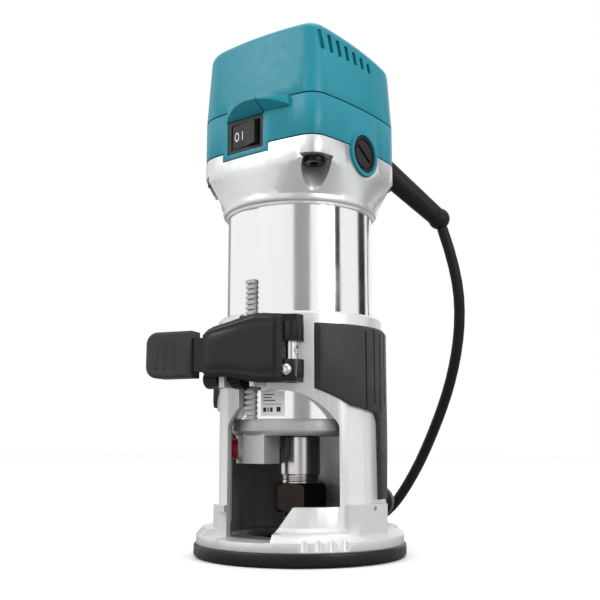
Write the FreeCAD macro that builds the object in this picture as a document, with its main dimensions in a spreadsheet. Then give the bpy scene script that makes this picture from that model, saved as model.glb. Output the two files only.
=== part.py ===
import FreeCAD, Part
import math
import os
import Sketcher

# A compact trim router: a motor unit with a square head, standing in a base casting that it slides in.
# Millimetres. +Z is up. The origin is on the spindle axis, at the underside of the base plate.
# Azimuths are degrees about +Z, measured from -Y (the switch side) towards +X (the brush cap side).

DIMENSIONS = {
    # motor unit
    "tube_r": 32.5, "tube_bore_r": 30.4, "tube_low": 56.8, "tube_high": 146.5,
    "collar_r": 34.6, "collar_high": 150.6,
    "head_x": 33.6, "head_y": 33.0, "head_bulge_r": 180.0, "head_corner_r": 17.0, "head_front_r": 8.0,
    "wall_low": 163.0, "seam_low": 172.5, "seam_high": 190.8, "head_top": 224.4, "top_fall": 5.0,
    "seam_gap": 0.6, "shell_wall": 2.4, "cover_lean": 3.0, "top_edge_r": 4.0,
    "visor_left": -12.5, "visor_right": 22.0, "visor_r": 26.8, "visor_step": 9.0, "visor_low": 186.6,
    "vent_width": 2.2, "vent_pitch": 5.3, "vent_count": 7, "vent_start": -28.0,
    # depth rack on the tube
    "rack_width": 4.7, "rack_deep": 2.2, "rack_face_r": 34.2, "rack_top": 115.0,
    "rack_pitch": 2.2, "rack_tooth": 1.1, "rack_tooth_deep": 1.3,
    # switch and brush caps
    "switch_x": -2.3, "switch_z": 179.0, "switch_width": 20.4, "switch_tall": 14.9,
    "rocker_half": 7.3, "rocker_tall": 10.6, "rocker_tilt": 9.0, "rocker_pivot": 32.9,
    "brush_y": -1.8, "brush_z": 171.0, "brush_ring_r": 9.8, "brush_cap_r": 8.2,
    # screws that hold the head together
    "screw_r": 37.6, "screw_azimuth": 47.0, "screw_head_r": 4.6, "screw_shank_r": 1.9,
    "pocket_r": 7.9, "pocket_low": 143.5, "pocket_top": 165.0, "boss_r": 7.1,
    # lower end of the motor unit
    "bracket_r": 30.0, "bracket_low": 50.1,
    "lock_azimuth": -44.0, "lock_z": 44.6, "lock_boss_r": 6.4,
    "spindle_r": 9.0, "thread_r": 8.3, "spindle_low": 27.5, "thread_high": 34.0,
    "nut_flats": 21.0, "nut_low": 18.0, "nut_high": 30.2,
    "collet_bore_r": 3.175,
    # base
    "plate_r": 45.6, "plate_thick": 5.5, "plate_bore_r": 17.5,
    "flange_r": 44.6, "flange_high": 12.6, "floor_high": 9.0, "floor_bore_r": 23.0,
    "barrel_r": 36.3, "barrel_bore_r": 32.56, "rim_high": 100.6,
    "window_azimuth": 23.0, "window_half": 23.8, "window_spring": 54.0, "window_top": 68.5,
    "fence_high": 21.9, "side_near": -22.4, "side_far": 3.0, "side_top": 61.0,
    "rear_half": 16.0, "rear_top": 60.0,
    "grip_r": 38.2, "grip_high": 95.5,
    "guide_x": 28.0, "guide_z": 20.4, "guide_face": 28.0, "guide_thread_r": 2.5,
    # clamp, in a frame turned to the lever's own azimuth
    "slit_azimuth": 3.0, "slit_width": 11.4,
    "lever_azimuth": 16.0, "lever_face": 46.2, "lever_wall": 2.4,
    "pin_u": 12.3, "pin_n": 40.0, "pin_r": 2.8, "bolt_z": 83.3, "bolt_r": 2.0,
    "ear_low": 78.3, "ear_high": 88.3, "ear_out": 43.2,
    "pinion_r": 4.6, "pinion_n": 39.2, "pinion_z": 73.4,
    # cord
    "cord_r": 2.7, "coil_middle_r": 31.0, "coil_across": 21.6, "coil_high": 16.2,
}

V = FreeCAD.Vector

# The bend protector's line, the cord's route to the floor and the middle of its coil.
GUARD_ROOT = V(13.7, 34.2, 185.9)
GUARD_END = V(34.1, 68.5, 157.0)
CORD_ROUTE = [V(35.1, 69.7, 152.3), V(39.8, 74.9, 131.4), V(37.2, 82.4, 105), V(26.2, 91.5, 78),
              V(9.6, 101.4, 53), V(-7.8, 110.7, 31), V(-26.9, 117.3, 11), V(-44.8, 122.3, 2.7),
              V(-60.1, 125.7, 2.7)]
COIL_CENTRE = V(-68.2, 87.3, 0)

# Where the base plate's screws stand, in degrees of azimuth.
PLATE_SCREW_ANGLES = (-45, 90, 140, -135)

doc = FreeCAD.newDocument("TrimRouter")
nodes = []


def make_sheet():
    sheet = doc.addObject("Spreadsheet::Sheet", "Dimensions")
    for row, (alias, value) in enumerate(DIMENSIONS.items(), start=1):
        sheet.set("A%d" % row, alias)
        sheet.set("B%d" % row, str(value))
        sheet.setAlias("B%d" % row, alias)
    doc.recompute()
    return sheet


sheet = make_sheet()


def ref(text):
    """Turn bare aliases in an expression into references to the sheet."""
    words = []
    word = ""
    for letter in str(text) + " ":
        if letter.isalnum() or letter in "_.":
            word += letter
            continue
        words.append("Dimensions." + word if word in DIMENSIONS else word)
        words.append(letter)
        word = ""
    return "".join(words).strip()


def value(text):
    """The present value of an expression of aliases."""
    return float(sheet.evalExpression(ref(text)))


def bind(item, **sizes):
    for name, text in sizes.items():
        item.setExpression(name.replace("__", "."), ref(text))
    return item


def place(item, x="0", y="0", z="0", turn=None, axis=None):
    """Bind an object's position, and its turn in degrees about +Z or another axis."""
    if axis is not None:
        item.Placement = FreeCAD.Placement(V(), FreeCAD.Rotation(V(*axis), 1.0))
    elif turn is not None:
        item.Placement = FreeCAD.Placement(V(), FreeCAD.Rotation(V(0, 0, 1), 1.0))
    if turn is not None:
        item.setExpression("Placement.Rotation.Angle", ref(turn))
    item.setExpression("Placement.Base.x", ref(x))
    item.setExpression("Placement.Base.y", ref(y))
    item.setExpression("Placement.Base.z", ref(z))
    return item


def node(item, name):
    """Name a finished sub-part: its label is the name of its file."""
    item.Label = name
    nodes.append(item)
    return item


# Part primitives and booleans ---------------------------------------------------------------------

def cylinder(name, radius, height, x="0", y="0", z="0", turn=None, axis=None, sweep=None):
    item = doc.addObject("Part::Cylinder", name)
    bind(item, Radius=radius, Height=height)
    if sweep is not None:
        bind(item, Angle=sweep)
    return place(item, x, y, z, turn, axis)


def box(name, length, width, height, x="0", y="0", z="0"):
    item = doc.addObject("Part::Box", name)
    bind(item, Length=length, Width=width, Height=height)
    return place(item, x, y, z)


def cut(name, base, tool):
    item = doc.addObject("Part::Cut", name)
    item.Base = base
    item.Tool = tool
    return item


def fuse(name, shapes):
    item = doc.addObject("Part::MultiFuse", name)
    item.Shapes = shapes
    item.Refine = True
    return item


def common(name, shapes):
    item = doc.addObject("Part::MultiCommon", name)
    item.Shapes = shapes
    return item


def group(name, shapes):
    item = doc.addObject("Part::Compound", name)
    item.Links = shapes
    return item


def turned_to(name, item, azimuth):
    """A copy of a thing built facing -Y, turned to an azimuth about the spindle axis."""
    holder = doc.addObject("Part::Compound", name)
    holder.Links = [item]
    return place(holder, turn=azimuth)


# PartDesign bodies --------------------------------------------------------------------------------

def new_body(name):
    return doc.addObject("PartDesign::Body", name)


def origin_feature(body, role):
    """One of a body's own origin planes or axes."""
    for feature in body.Origin.OriginFeatures:
        if feature.Role == role:
            return feature
    raise ValueError(role)


def sketch_on(body, name, role, offset="0"):
    sketch = body.newObject("Sketcher::SketchObject", name)
    sketch.AttachmentSupport = [(origin_feature(body, role), "")]
    sketch.MapMode = "FlatFace"
    sketch.setExpression("AttachmentOffset.Base.z", ref(offset))
    return sketch


def pin_point(sketch, geometry, end, px, py):
    """Hold one point of a sketch at a place given by two expressions."""
    for kind, text in (("DistanceX", px), ("DistanceY", py)):
        index = sketch.addConstraint(Sketcher.Constraint(kind, -1, 1, geometry, end, value(text)))
        sketch.setExpression("Constraints[%d]" % index, ref(text))


def polygon(body, name, points, role="XZ_Plane", offset="0"):
    """A closed outline of straight lines through points given as pairs of expressions."""
    sketch = sketch_on(body, name, role, offset)
    spots = [V(value(px), value(py), 0) for px, py in points]
    count = len(points)
    for i in range(count):
        sketch.addGeometry(Part.LineSegment(spots[i], spots[(i + 1) % count]))
    for i in range(count):
        sketch.addConstraint(Sketcher.Constraint("Coincident", i, 2, (i + 1) % count, 1))
    for i, (px, py) in enumerate(points):
        pin_point(sketch, i, 1, px, py)
    return sketch


def circles(body, name, rings, role="XY_Plane", offset="0"):
    """Full circles, each given as (x, y, radius) expressions."""
    sketch = sketch_on(body, name, role, offset)
    for i, (px, py, radius) in enumerate(rings):
        centre = V(value(px), value(py), 0)
        sketch.addGeometry(Part.Circle(centre, V(0, 0, 1), value(radius)))
        pin_point(sketch, i, 3, px, py)
        index = sketch.addConstraint(Sketcher.Constraint("Radius", i, value(radius)))
        sketch.setExpression("Constraints[%d]" % index, ref(radius))
    return sketch


def pillow(body, name, offset, inset="0"):
    """The head's cross-section: four corners joined by four bulged sides."""
    sketch = sketch_on(body, name, "XY_Plane", offset)
    half_x = value("head_x - (%s)" % inset)
    half_y = value("head_y - (%s)" % inset)
    radius = value("head_bulge_r - (%s)" % inset)
    signs = [(1, -1), (1, 1), (-1, 1), (-1, -1)]
    corners = [V(x * half_x, y * half_y, 0) for x, y in signs]
    for start, end in zip(corners, corners[1:] + corners[:1]):
        chord_middle = (start + end) * 0.5
        half_chord = start.distanceToPoint(end) / 2
        rise = radius - math.sqrt(radius ** 2 - half_chord ** 2)
        bulge = chord_middle * (1 + rise / chord_middle.Length)
        sketch.addGeometry(Part.Arc(start, bulge, end))
    for i in range(4):
        sketch.addConstraint(Sketcher.Constraint("Coincident", i, 2, (i + 1) % 4, 1))
    for i, (x, y) in enumerate(signs):
        pin_point(sketch, i, 1, "%d * (head_x - (%s))" % (x, inset), "%d * (head_y - (%s))" % (y, inset))
        index = sketch.addConstraint(Sketcher.Constraint("Radius", i, radius))
        sketch.setExpression("Constraints[%d]" % index, ref("head_bulge_r - (%s)" % inset))
    return sketch


def finish_feature(body, feature):
    body.Tip = feature
    doc.recompute()
    return feature


def pad(body, sketch, length, reverse=False, both=False):
    feature = body.newObject("PartDesign::Pad", sketch.Name + "_pad")
    feature.Profile = sketch
    feature.Reversed = reverse
    feature.Midplane = both
    bind(feature, Length=length)
    return finish_feature(body, feature)


def pocket(body, sketch, length, reverse=False, both=False):
    feature = body.newObject("PartDesign::Pocket", sketch.Name + "_pocket")
    feature.Profile = sketch
    feature.Reversed = reverse
    feature.Midplane = both
    bind(feature, Length=length)
    before = body.Shape.Volume
    finish_feature(body, feature)
    if body.Shape.Volume > before - 0.01:
        raise ValueError("%s cuts nothing" % feature.Name)
    return feature


def revolve(body, sketch):
    feature = body.newObject("PartDesign::Revolution", sketch.Name + "_turn")
    feature.Profile = sketch
    feature.ReferenceAxis = (sketch, ["V_Axis"])
    feature.Angle = 360.0
    return finish_feature(body, feature)


def turned(name, points):
    """A turned piece about +Z from an outline of (radius, height) expressions."""
    body = new_body(name)
    revolve(body, polygon(body, name + "_outline", points))
    return body


def edges_where(shape, test):
    return ["Edge%d" % (i + 1) for i, edge in enumerate(shape.Edges) if test(edge)]


def fillet(body, radius, test):
    """Round the edges of the present shape that pass a test."""
    base = body.Tip
    feature = body.newObject("PartDesign::Fillet", base.Name + "_round")
    feature.Base = (base, edges_where(base.Shape, test))
    bind(feature, Radius=radius)
    return finish_feature(body, feature)


def is_corner_edge(edge):
    """The rising edges where two bulged sides of the head meet."""
    middle = edge.CenterOfMass
    rises = edge.BoundBox.ZLength > 0.1
    return rises and abs(middle.x) > value("head_x - 6") and abs(middle.y) > value("head_y - 6")


def is_front_corner(edge):
    """The one tighter corner of the head, between the switch side and a brush cap."""
    middle = edge.CenterOfMass
    return is_corner_edge(edge) and middle.x > 0 > middle.y


# Head: casting, switch housing and top cover ------------------------------------------------------

def pillow_block(name, low, high, inset="0", lean="0"):
    """A solid of the head's cross-section between two heights, with its upright corners rounded."""
    body = new_body(name)
    block = pad(body, pillow(body, name + "_low", low, inset), "%s - (%s)" % (high, low))
    bind(block, TaperAngle="-(%s)" % lean)
    doc.recompute()
    fillet(body, "head_front_r - (%s)" % inset, is_front_corner)
    fillet(body, "head_corner_r - (%s)" % inset,
           lambda edge: is_corner_edge(edge) and not is_front_corner(edge))
    return body


def screw_places():
    return ["screw_azimuth", "180 - screw_azimuth", "180 + screw_azimuth", "-screw_azimuth"]


def at_screw(item, i, low, out="screw_r"):
    """Stand a thing at one head screw, on its axis or at another distance out."""
    angle = "(%s)" % screw_places()[i]
    return place(item, "(%s) * sin(%s * 1deg)" % (out, angle), "-(%s) * cos(%s * 1deg)" % (out, angle), low)


def around_screws(name, radius, height, low):
    """One cylinder on each of the four head screws' axes."""
    return [at_screw(cylinder("%s_%d" % (name, i), radius, height), i, low) for i in range(4)]


def make_head_casting():
    wall = pillow_block("casting_wall", "wall_low", "seam_low")
    neck = doc.addObject("Part::Feature", "casting_neck")
    doc.recompute()
    neck.Shape = neck_shape(wall.Shape)
    collar = turned("casting_collar", [("20", "tube_high"), ("collar_r - 1.3", "tube_high"),
                                       ("collar_r - 1.3", "tube_high + 1.1"),
                                       ("collar_r", "tube_high + 1.5"),
                                       ("collar_r + 0.4", "tube_high + 2.8"), ("collar_r", "collar_high"),
                                       ("20", "collar_high")])
    outer = fuse("casting_outer", [wall, neck, collar])
    bore = cylinder("casting_bore", "tube_bore_r", "wall_low + 2.4 - tube_high + 1", z="tube_high - 1")
    room = pillow_block("casting_room", "wall_low + 2.4", "seam_low + 1", "shell_wall")
    hollow = cut("casting_hollow", outer, fuse("casting_rooms", [bore, room]))
    limit = pillow_block("casting_boss_limit", "wall_low + 1", "seam_low")
    bosses = around_screws("casting_boss", "boss_r", "seam_low - wall_low - 1", "wall_low + 1")
    bossed = fuse("casting_bossed",
                  [hollow, common("casting_bosses", [limit, fuse("casting_boss_set", bosses)])])
    tools = [screw_pocket(i) for i in range(4)]
    tools += around_screws("casting_screw_hole", "screw_shank_r + 0.05", "12", "pocket_top - 1")
    for side, start in (("right", "25"), ("left", "-50")):
        hole = cylinder("casting_brush_%s" % side, "brush_ring_r + 0.35", "25", axis=(0, 1, 0), turn="90",
                        x=start, y="brush_y", z="brush_z")
        tools.append(hole)
    notch = box("casting_switch_notch", "26.2", "12", "6", x="switch_x - 13.1", y="-42", z="seam_low - 3.6")
    tools.append(notch)
    return node(cut("casting", bossed, fuse("casting_tools", tools)), "head_casting")


def screw_pocket(i):
    """The tapered room under one head screw, open through the casting's underside."""
    item = doc.addObject("Part::Cone", "casting_pocket_%d" % i)
    bind(item, Radius1="1", Radius2="pocket_r", Height="pocket_top - pocket_low")
    return at_screw(item, i, "pocket_low", "screw_r + 1.5")


def neck_shape(wall):
    """The casting's underside: a skin from the round collar out to the foot of the square wall."""
    foot = min(wall.Faces, key=lambda face: face.BoundBox.ZMax).OuterWire
    spots = [vertex.Point for vertex in foot.OrderedVertexes]
    radius, height = value("collar_r"), value("collar_high")

    def on_circle(angle):
        return V(radius * math.cos(angle), radius * math.sin(angle), height)

    arcs = []
    for here, there in zip(spots, spots[1:] + spots[:1]):
        start, end = math.atan2(here.y, here.x), math.atan2(there.y, there.x)
        turn = (end - start + math.pi) % (2 * math.pi) - math.pi
        arcs.append(Part.Arc(on_circle(start), on_circle(start + turn / 2), on_circle(end)).toShape())
    return Part.makeLoft([Part.Wire(arcs), Part.Wire(foot.OrderedEdges)], True, True)


def make_switch_housing():
    outer = pillow_block("housing_wall", "seam_low + seam_gap", "seam_high")
    tab = box("housing_tab", "25.4", "6", "8", x="switch_x - 12.7", y="-37.2", z="seam_low - 3.2")
    limit = pillow_block("housing_limit", "seam_low - 6", "seam_high")
    tab_shape = common("housing_tab_shape", [tab, limit])
    rings = []
    for side, start in (("right", "27.5"), ("left", "-37.4")):
        rings.append(cylinder("housing_ring_%s" % side, "brush_ring_r", "9.9", axis=(0, 1, 0), turn="90",
                              x=start, y="brush_y", z="brush_z"))
    body = fuse("housing_outer",
                [outer, tab_shape, visor("housing_visor", "visor_step", "visor_right", "seam_high")]
                + rings)
    room = pillow_block("housing_room", "seam_low - 14", "seam_high + 2", "shell_wall")
    tools = [room]
    for side, start in (("right", "20"), ("left", "-45")):
        tools.append(cylinder("housing_bore_%s" % side, "brush_cap_r + 0.15", "25", axis=(0, 1, 0),
                              turn="90",
                              x=start, y="brush_y", z="brush_z"))
    tools.append(box("housing_switch_hole", "switch_width + 0.3", "12", "switch_tall + 0.3",
                     x="switch_x - switch_width / 2 - 0.15", y="-42",
                     z="switch_z - switch_tall / 2 - 0.15"))
    tools.append(box("housing_visor_notch", "visor_step - visor_left + seam_gap", "20", "12",
                     x="visor_left - seam_gap", y="-44", z="visor_low - 0.35"))
    tools.append(along_guard("housing_cord_hole", "5.95", -0.6, "30"))
    shell = cut("housing_shell", body, fuse("housing_tools", tools))
    bridge = box("bearing_bridge", "76", "14", "3.4", x="-38", y="-7", z="seam_high - 3.8")
    inside = pillow_block("bridge_limit", "seam_low + seam_gap", "seam_high", "1")
    seat = ring("bearing_seat", "12", "5", "seam_high - 3.8", "204")
    bosses = around_screws("housing_boss", "4.6", "11", "seam_low")
    fittings = common("housing_fittings", [inside, fuse("housing_fitting_set", bosses + [bridge])])
    bridged = fuse("housing_bridged", [shell, fittings, seat])
    bearing_room = cylinder("bearing_room", "9.5", "8", z="197")
    shaft_room = cylinder("bearing_shaft_room", "5", "30", z="180")
    screw_holes = around_screws("housing_screw_hole", "screw_shank_r + 0.05", "10", "seam_low - 1")
    rooms = fuse("bearing_rooms", [bearing_room, shaft_room] + screw_holes)
    return node(cut("housing", bridged, rooms), "switch_housing")


def along_guard(name, radius, start, length):
    """A cylinder on the bend protector's own line."""
    line = GUARD_END - GUARD_ROOT
    item = doc.addObject("Part::Cylinder", name)
    bind(item, Radius=radius, Height=length)
    first = GUARD_ROOT + line * (start / line.Length)
    item.Placement = FreeCAD.Placement(first, FreeCAD.Rotation(V(0, 0, 1), line))
    return item


def make_top_cover():
    body = sloping_block("cover_body", "seam_high + seam_gap", "0", "0")
    fillet(body, "top_edge_r", is_on_top)
    skirt = box("visor_skirt", "visor_step - visor_left", "2.2", "8", x="visor_left", y="-35.4",
                z="visor_low")
    shape = fuse("cover_shape",
                 [body, visor("cover_visor", "visor_left", "visor_step - seam_gap", "seam_high + 2"),
                                 skirt])
    room = sloping_block("cover_room", "seam_high - 2", "3.0", "shell_wall")
    tools = [room]
    for i in range(int(value("vent_count"))):
        slot = box("vent_%d" % i, "9", "vent_width", "8.6 - 0.7 * %d" % i)
        tools.append(place(slot, "31.8", "vent_start + %d * vent_pitch" % i,
                           "head_top - 13.2 - 0.1 * %d" % i,
                           turn="12", axis=(1, 0, 0)))
        back = box("back_vent_%d" % i, "9", "vent_width", "6.4", x="-40.5",
                   y="vent_start + %d * vent_pitch" % i, z="head_top - 15")
        tools.append(back)
    tools.append(cylinder("dial_hole", "8.6", "12", x="14", y="17", z="head_top - 9"))
    return node(cut("cover", shape, fuse("cover_tools", tools)), "top_cover")


def top_level(y):
    """The height of the cover's sloping top at a distance behind the spindle."""
    return "(head_top - tan(top_fall) * (33 + (%s)))" % y


def sloping_block(name, low, drop, inset):
    """The cover's solid, or the room inside it: its top falls away from the switch side."""
    body = pillow_block(name, low, "head_top", inset, "cover_lean")
    above = [("-60", "%s - (%s)" % (top_level("-60"), drop)), ("60", "%s - (%s)" % (top_level("60"), drop)),
             ("60", "head_top + 20"), ("-60", "head_top + 20")]
    pocket(body, polygon(body, name + "_above", above, "YZ_Plane"), "100", both=True)
    return body


def is_on_top(edge):
    """Edges round the cover's sloping top."""
    return all(abs(spot.Point.z - value(top_level(str(spot.Point.y)))) < 0.02 for spot in edge.Vertexes)


def visor(name, left, right, high):
    """A stretch of the brim over the switch: a crescent from above, sloping up to the wall."""
    crown = [("-32", "visor_low"), ("-36", "visor_low"), ("-43.5", "visor_low + 4.4"),
             ("-36.4", "seam_high + 2.2"),
             ("-32", "seam_high + 2.2")]
    slope = new_body(name + "_slope")
    pad(slope, polygon(slope, name + "_outline", crown, "YZ_Plane", left), "(%s) - (%s)" % (right, left))
    middle = "(visor_left + visor_right) / 2"
    crescent = cylinder(name + "_crescent", "visor_r", "(%s) - visor_low" % high, x=middle, y="-15.8",
                        z="visor_low")
    return common(name, [slope, crescent])


def make_head_screws():
    parts = []
    heads = around_screws("screw_head", "screw_head_r", "2.6", "pocket_top - 2.6")
    shanks = around_screws("screw_shank", "screw_shank_r", "15", "pocket_top - 1.0")
    for i, (head, shank) in enumerate(zip(heads, shanks)):
        socket = doc.addObject("Part::Prism", "screw_socket_%d" % i)
        socket.Polygon = 6
        bind(socket, Circumradius="2.0", Height="1.9")
        at_screw(socket, i, "pocket_top - 2.7")
        parts.append(cut("screw_%d" % i, fuse("screw_blank_%d" % i, [head, shank]), socket))
    return node(group("screws", parts), "head_screws")


# Motor tube, rack and lower bracket ---------------------------------------------------------------

def make_tube():
    tube = turned("tube_wall",
                  [("tube_bore_r", "tube_low"), ("tube_r", "tube_low"), ("tube_r", "tube_high"),
                                ("tube_bore_r", "tube_high")])
    flat = box("tube_flat", "10.4", "6", "tube_high - tube_low + 2", x="-7.6", y="-tube_r - 5.35",
               z="tube_low - 1")
    seat = box("tube_rack_seat", "rack_width", "10", "rack_top - tube_low + 0.1", x="-rack_width / 2",
               y="-rack_face_r + rack_deep - 10", z="tube_low - 0.05")
    return node(cut("tube", tube, fuse("tube_tools", [flat, seat])), "motor_tube")


def make_rack():
    body = new_body("rack_bar")
    blank = [("-rack_width / 2", "-rack_face_r"), ("rack_width / 2", "-rack_face_r"),
             ("rack_width / 2", "-rack_face_r + rack_deep"),
             ("-rack_width / 2", "-rack_face_r + rack_deep")]
    pad(body, polygon(body, "rack_section", blank, "XY_Plane", "tube_low"), "rack_top - tube_low")
    gap = [("-rack_face_r - 1", "tube_low + 0.6"), ("-rack_face_r + rack_tooth_deep", "tube_low + 0.9"),
           ("-rack_face_r + rack_tooth_deep", "tube_low + 0.4 + rack_tooth"),
           ("-rack_face_r - 1", "tube_low + 0.7 + rack_tooth")]
    feature = pocket(body, polygon(body, "rack_gap", gap, "YZ_Plane"), "rack_width + 2", both=True)
    row = body.newObject("PartDesign::LinearPattern", "rack_teeth")
    row.Originals = [feature]
    row.Direction = (origin_feature(body, "Z_Axis"), [""])
    count = int((value("rack_top") - value("tube_low") - 1.0) / value("rack_pitch"))
    row.Occurrences = count
    bind(row, Length="rack_pitch * %d" % (count - 1))
    finish_feature(body, row)
    return node(body, "depth_rack")


def radial_cylinder(name, radius, inner, outer, azimuth, height):
    """A cylinder on a level line through the spindle axis, from one radius to another."""
    item = cylinder(name, radius, "(%s) - (%s)" % (outer, inner), axis=(1, 0, 0), turn="90",
                    y="-(%s)" % inner, z=height)
    return turned_to(name + "_turned", item, azimuth)


def make_end_bracket():
    disc = turned("bracket_disc", [("11.2", "bracket_low"), ("bracket_r - 2", "bracket_low"),
                                   ("bracket_r", "bracket_low + 2"), ("bracket_r", "tube_low + 6"),
                                   ("tube_bore_r - 3.4", "tube_low + 6"),
                                   ("tube_bore_r - 3.4", "tube_low + 1.5"),
                                   ("13.2", "tube_low + 1.5"), ("13.2", "tube_low + 7"),
                                   ("11.2", "tube_low + 7")])
    boss = radial_cylinder("lock_boss", "lock_boss_r", "14", "27.6", "lock_azimuth", "lock_z")
    block = box("lock_block", "2 * lock_boss_r", "13.6", "bracket_low + 1 - lock_z", x="-lock_boss_r",
                y="-27.6",
                z="lock_z")
    web = box("bracket_web", "13", "9", "bracket_low + 1 - 38.6", x="-6.5", y="-28", z="38.6")
    outer = fuse("bracket_outer", [disc, boss, turned_to("lock_block_turned", block, "lock_azimuth"),
                                   turned_to("bracket_web_turned", web, "-6")])
    bore = radial_cylinder("lock_bore", "4.6", "16", "40", "lock_azimuth", "lock_z")
    guide = radial_cylinder("lock_guide", "2.05", "8", "40", "lock_azimuth", "lock_z")
    return node(cut("bracket", outer, fuse("bracket_tools", [bore, guide])), "end_bracket")


def make_shaft_lock():
    cap = radial_cylinder("lock_cap", "4.5", "24.5", "30.5", "lock_azimuth", "lock_z")
    core = radial_cylinder("lock_cap_bore", "2.0", "24", "28", "lock_azimuth", "lock_z")
    node(cut("lock_button", cap, core), "shaft_lock_button")
    rod = radial_cylinder("lock_rod", "2.0", "12.2", "28", "lock_azimuth", "lock_z")
    collar = radial_cylinder("lock_rod_collar", "2.9", "22.6", "24.4", "lock_azimuth", "lock_z")
    node(fuse("lock_pin", [rod, collar]), "shaft_lock_pin")
    coil = radial_cylinder("lock_spring_outer", "3.8", "16.2", "19.8", "lock_azimuth", "lock_z")
    hole = radial_cylinder("lock_spring_inner", "3.0", "15", "23", "lock_azimuth", "lock_z")
    node(cut("lock_spring", coil, hole), "shaft_lock_spring")


# Spindle, collet and the motor's insides ----------------------------------------------------------

def make_spindle():
    shaft = turned("shaft",
                   [("0", "spindle_low"), ("thread_r - 0.7", "spindle_low"),
                    ("thread_r", "spindle_low + 1"),
                             ("thread_r", "thread_high - 0.7"), ("spindle_r", "thread_high"),
                             ("spindle_r", "bracket_low - 0.6"),
                             ("6", "bracket_low + 1.4"), ("6", "68"), ("4", "70"), ("4", "205"),
                             ("0", "205")])
    socket = cylinder("spindle_socket", "4.6", "16", z="spindle_low - 1")
    flat = radial_cylinder("spindle_lock_hole", "2.3", "3", "10", "lock_azimuth", "lock_z")
    node(cut("spindle_shape", shaft, fuse("spindle_tools", [socket, flat])), "armature_shaft")
    cone = turned("collet_body",
                  [("collet_bore_r", "nut_low + 0.6"), ("5.4", "nut_low + 0.6"), ("5.4", "nut_low + 5"),
                                  ("4.5", "spindle_low + 0.6"), ("4.5", "spindle_low + 13"),
                                  ("collet_bore_r", "spindle_low + 13")])
    slots = [box("collet_slot_%d" % i, "0.7", "12", "14", x="-0.35", y="-6", z="nut_low") for i in range(2)]
    place(slots[1], "-6", "-0.35", "nut_low")
    bind(slots[1], Length="12", Width="0.7")
    node(cut("collet", cone, fuse("collet_slots", slots)), "collet_cone")


def make_collet_nut():
    prism = doc.addObject("Part::Prism", "nut_prism")
    prism.Polygon = 6
    bind(prism, Circumradius="nut_flats / sqrt(3)", Height="nut_high - nut_low")
    place(prism, z="nut_low", turn="lever_azimuth")
    round_limit = turned("nut_limit",
                         [("0", "nut_low"), ("10.4", "nut_low"),
                          ("nut_flats / sqrt(3) + 0.05", "nut_low + 1.6"),
                                       ("nut_flats / sqrt(3) + 0.05", "nut_high - 1.4"),
                                       ("10.6", "nut_high"), ("0", "nut_high")])
    bore = turned("nut_bore", [("0", "nut_low - 1"), ("4.4", "nut_low - 1"), ("5.45", "nut_low + 0.4"),
                               ("5.45", "nut_low + 5.2"), ("thread_r + 0.05", "nut_low + 8"),
                               ("thread_r + 0.05", "nut_high + 1"), ("0", "nut_high + 1")])
    node(cut("nut", common("nut_blank", [prism, round_limit]), bore), "collet_nut")


def ring(name, outer, inner, low, high):
    return turned(name + "_ring", [(inner, low), (outer, low), (outer, high), (inner, high)])


def make_bearing(name, bore, outer, low, high):
    inner_ring = ring(name + "_inner", "%s + 2.2" % bore, bore, low, high)
    outer_ring = ring(name + "_outer", outer, "%s - 2.2" % outer, low, high)
    cage = ring(name + "_cage", "%s - 2.2" % outer, "%s + 2.2" % bore, "%s + 1" % low, "%s - 1" % high)
    return node(fuse(name, [inner_ring, outer_ring, cage]), name)


def make_motor():
    make_bearing("lower_bearing", "6.03", "11.2", "bracket_low + 2", "tube_low + 6")
    make_bearing("upper_bearing", "4.03", "9.5", "197", "204")
    core = ring("core", "16.5", "4", "88", "132")
    slots = []
    for i in range(12):
        slot = cylinder("core_slot_%d" % i, "1.9", "46")
        place(slot, "14 * sin(%d * 30deg)" % i, "14 * cos(%d * 30deg)" % i, "87")
        slots.append(slot)
    node(cut("core_cut", core, fuse("core_slots", slots)), "armature_core")
    wires = []
    for i in range(12):
        wire = cylinder("wire_%d" % i, "1.8", "60")
        place(wire, "14 * sin(%d * 30deg)" % i, "14 * cos(%d * 30deg)" % i, "80")
        wires.append(wire)
    low_head = ring("low_head", "15.9", "5", "78", "87.9")
    high_head = ring("high_head", "15.9", "5", "132.1", "142")
    node(fuse("windings", wires + [low_head, high_head]), "armature_windings")
    bars = ring("bars", "11", "4", "158", "178")
    gaps = []
    for i in range(12):
        gap = box("bar_gap_%d" % i, "0.6", "3", "16", z="160")
        place(gap, "9.6 * sin(%d * 30deg) - 0.3" % i, "9.6 * cos(%d * 30deg) - 0.3" % i, "160")
        gaps.append(gap)
    node(cut("bars_cut", bars, fuse("bar_gaps", gaps)), "commutator")
    hub = ring("fan_hub", "8", "4", "72", "76.5")
    plate = ring("fan_plate", "27", "8", "75", "76.5")
    blades = []
    for i in range(14):
        blade = box("fan_blade_%d" % i, "1.4", "14", "6.5", x="-0.7", y="-26", z="69")
        blades.append(turned_to("fan_blade_turned_%d" % i, blade, "%d * 360 / 14" % i))
    node(fuse("fan", [hub, plate] + blades), "cooling_fan")
    stator = ring("stator", "28.3", "17.2", "90", "130")
    flats = [box("stator_flat_%d" % i, "70", "10", "50", x="-35", y=y,
                 z="85") for i, y in enumerate(("26", "-36"))]
    node(cut("stator_cut", stator, fuse("stator_flats", flats)), "stator_core")
    coils = [ring("coil_low", "24.5", "17.6", "82", "89.8"),
             ring("coil_high", "24.5", "17.6", "130.2", "138")]
    node(group("coils", coils), "field_coils")
    node(ring("baffle", "tube_bore_r", "28.3", "84", "134"), "stator_sleeve")


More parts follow.
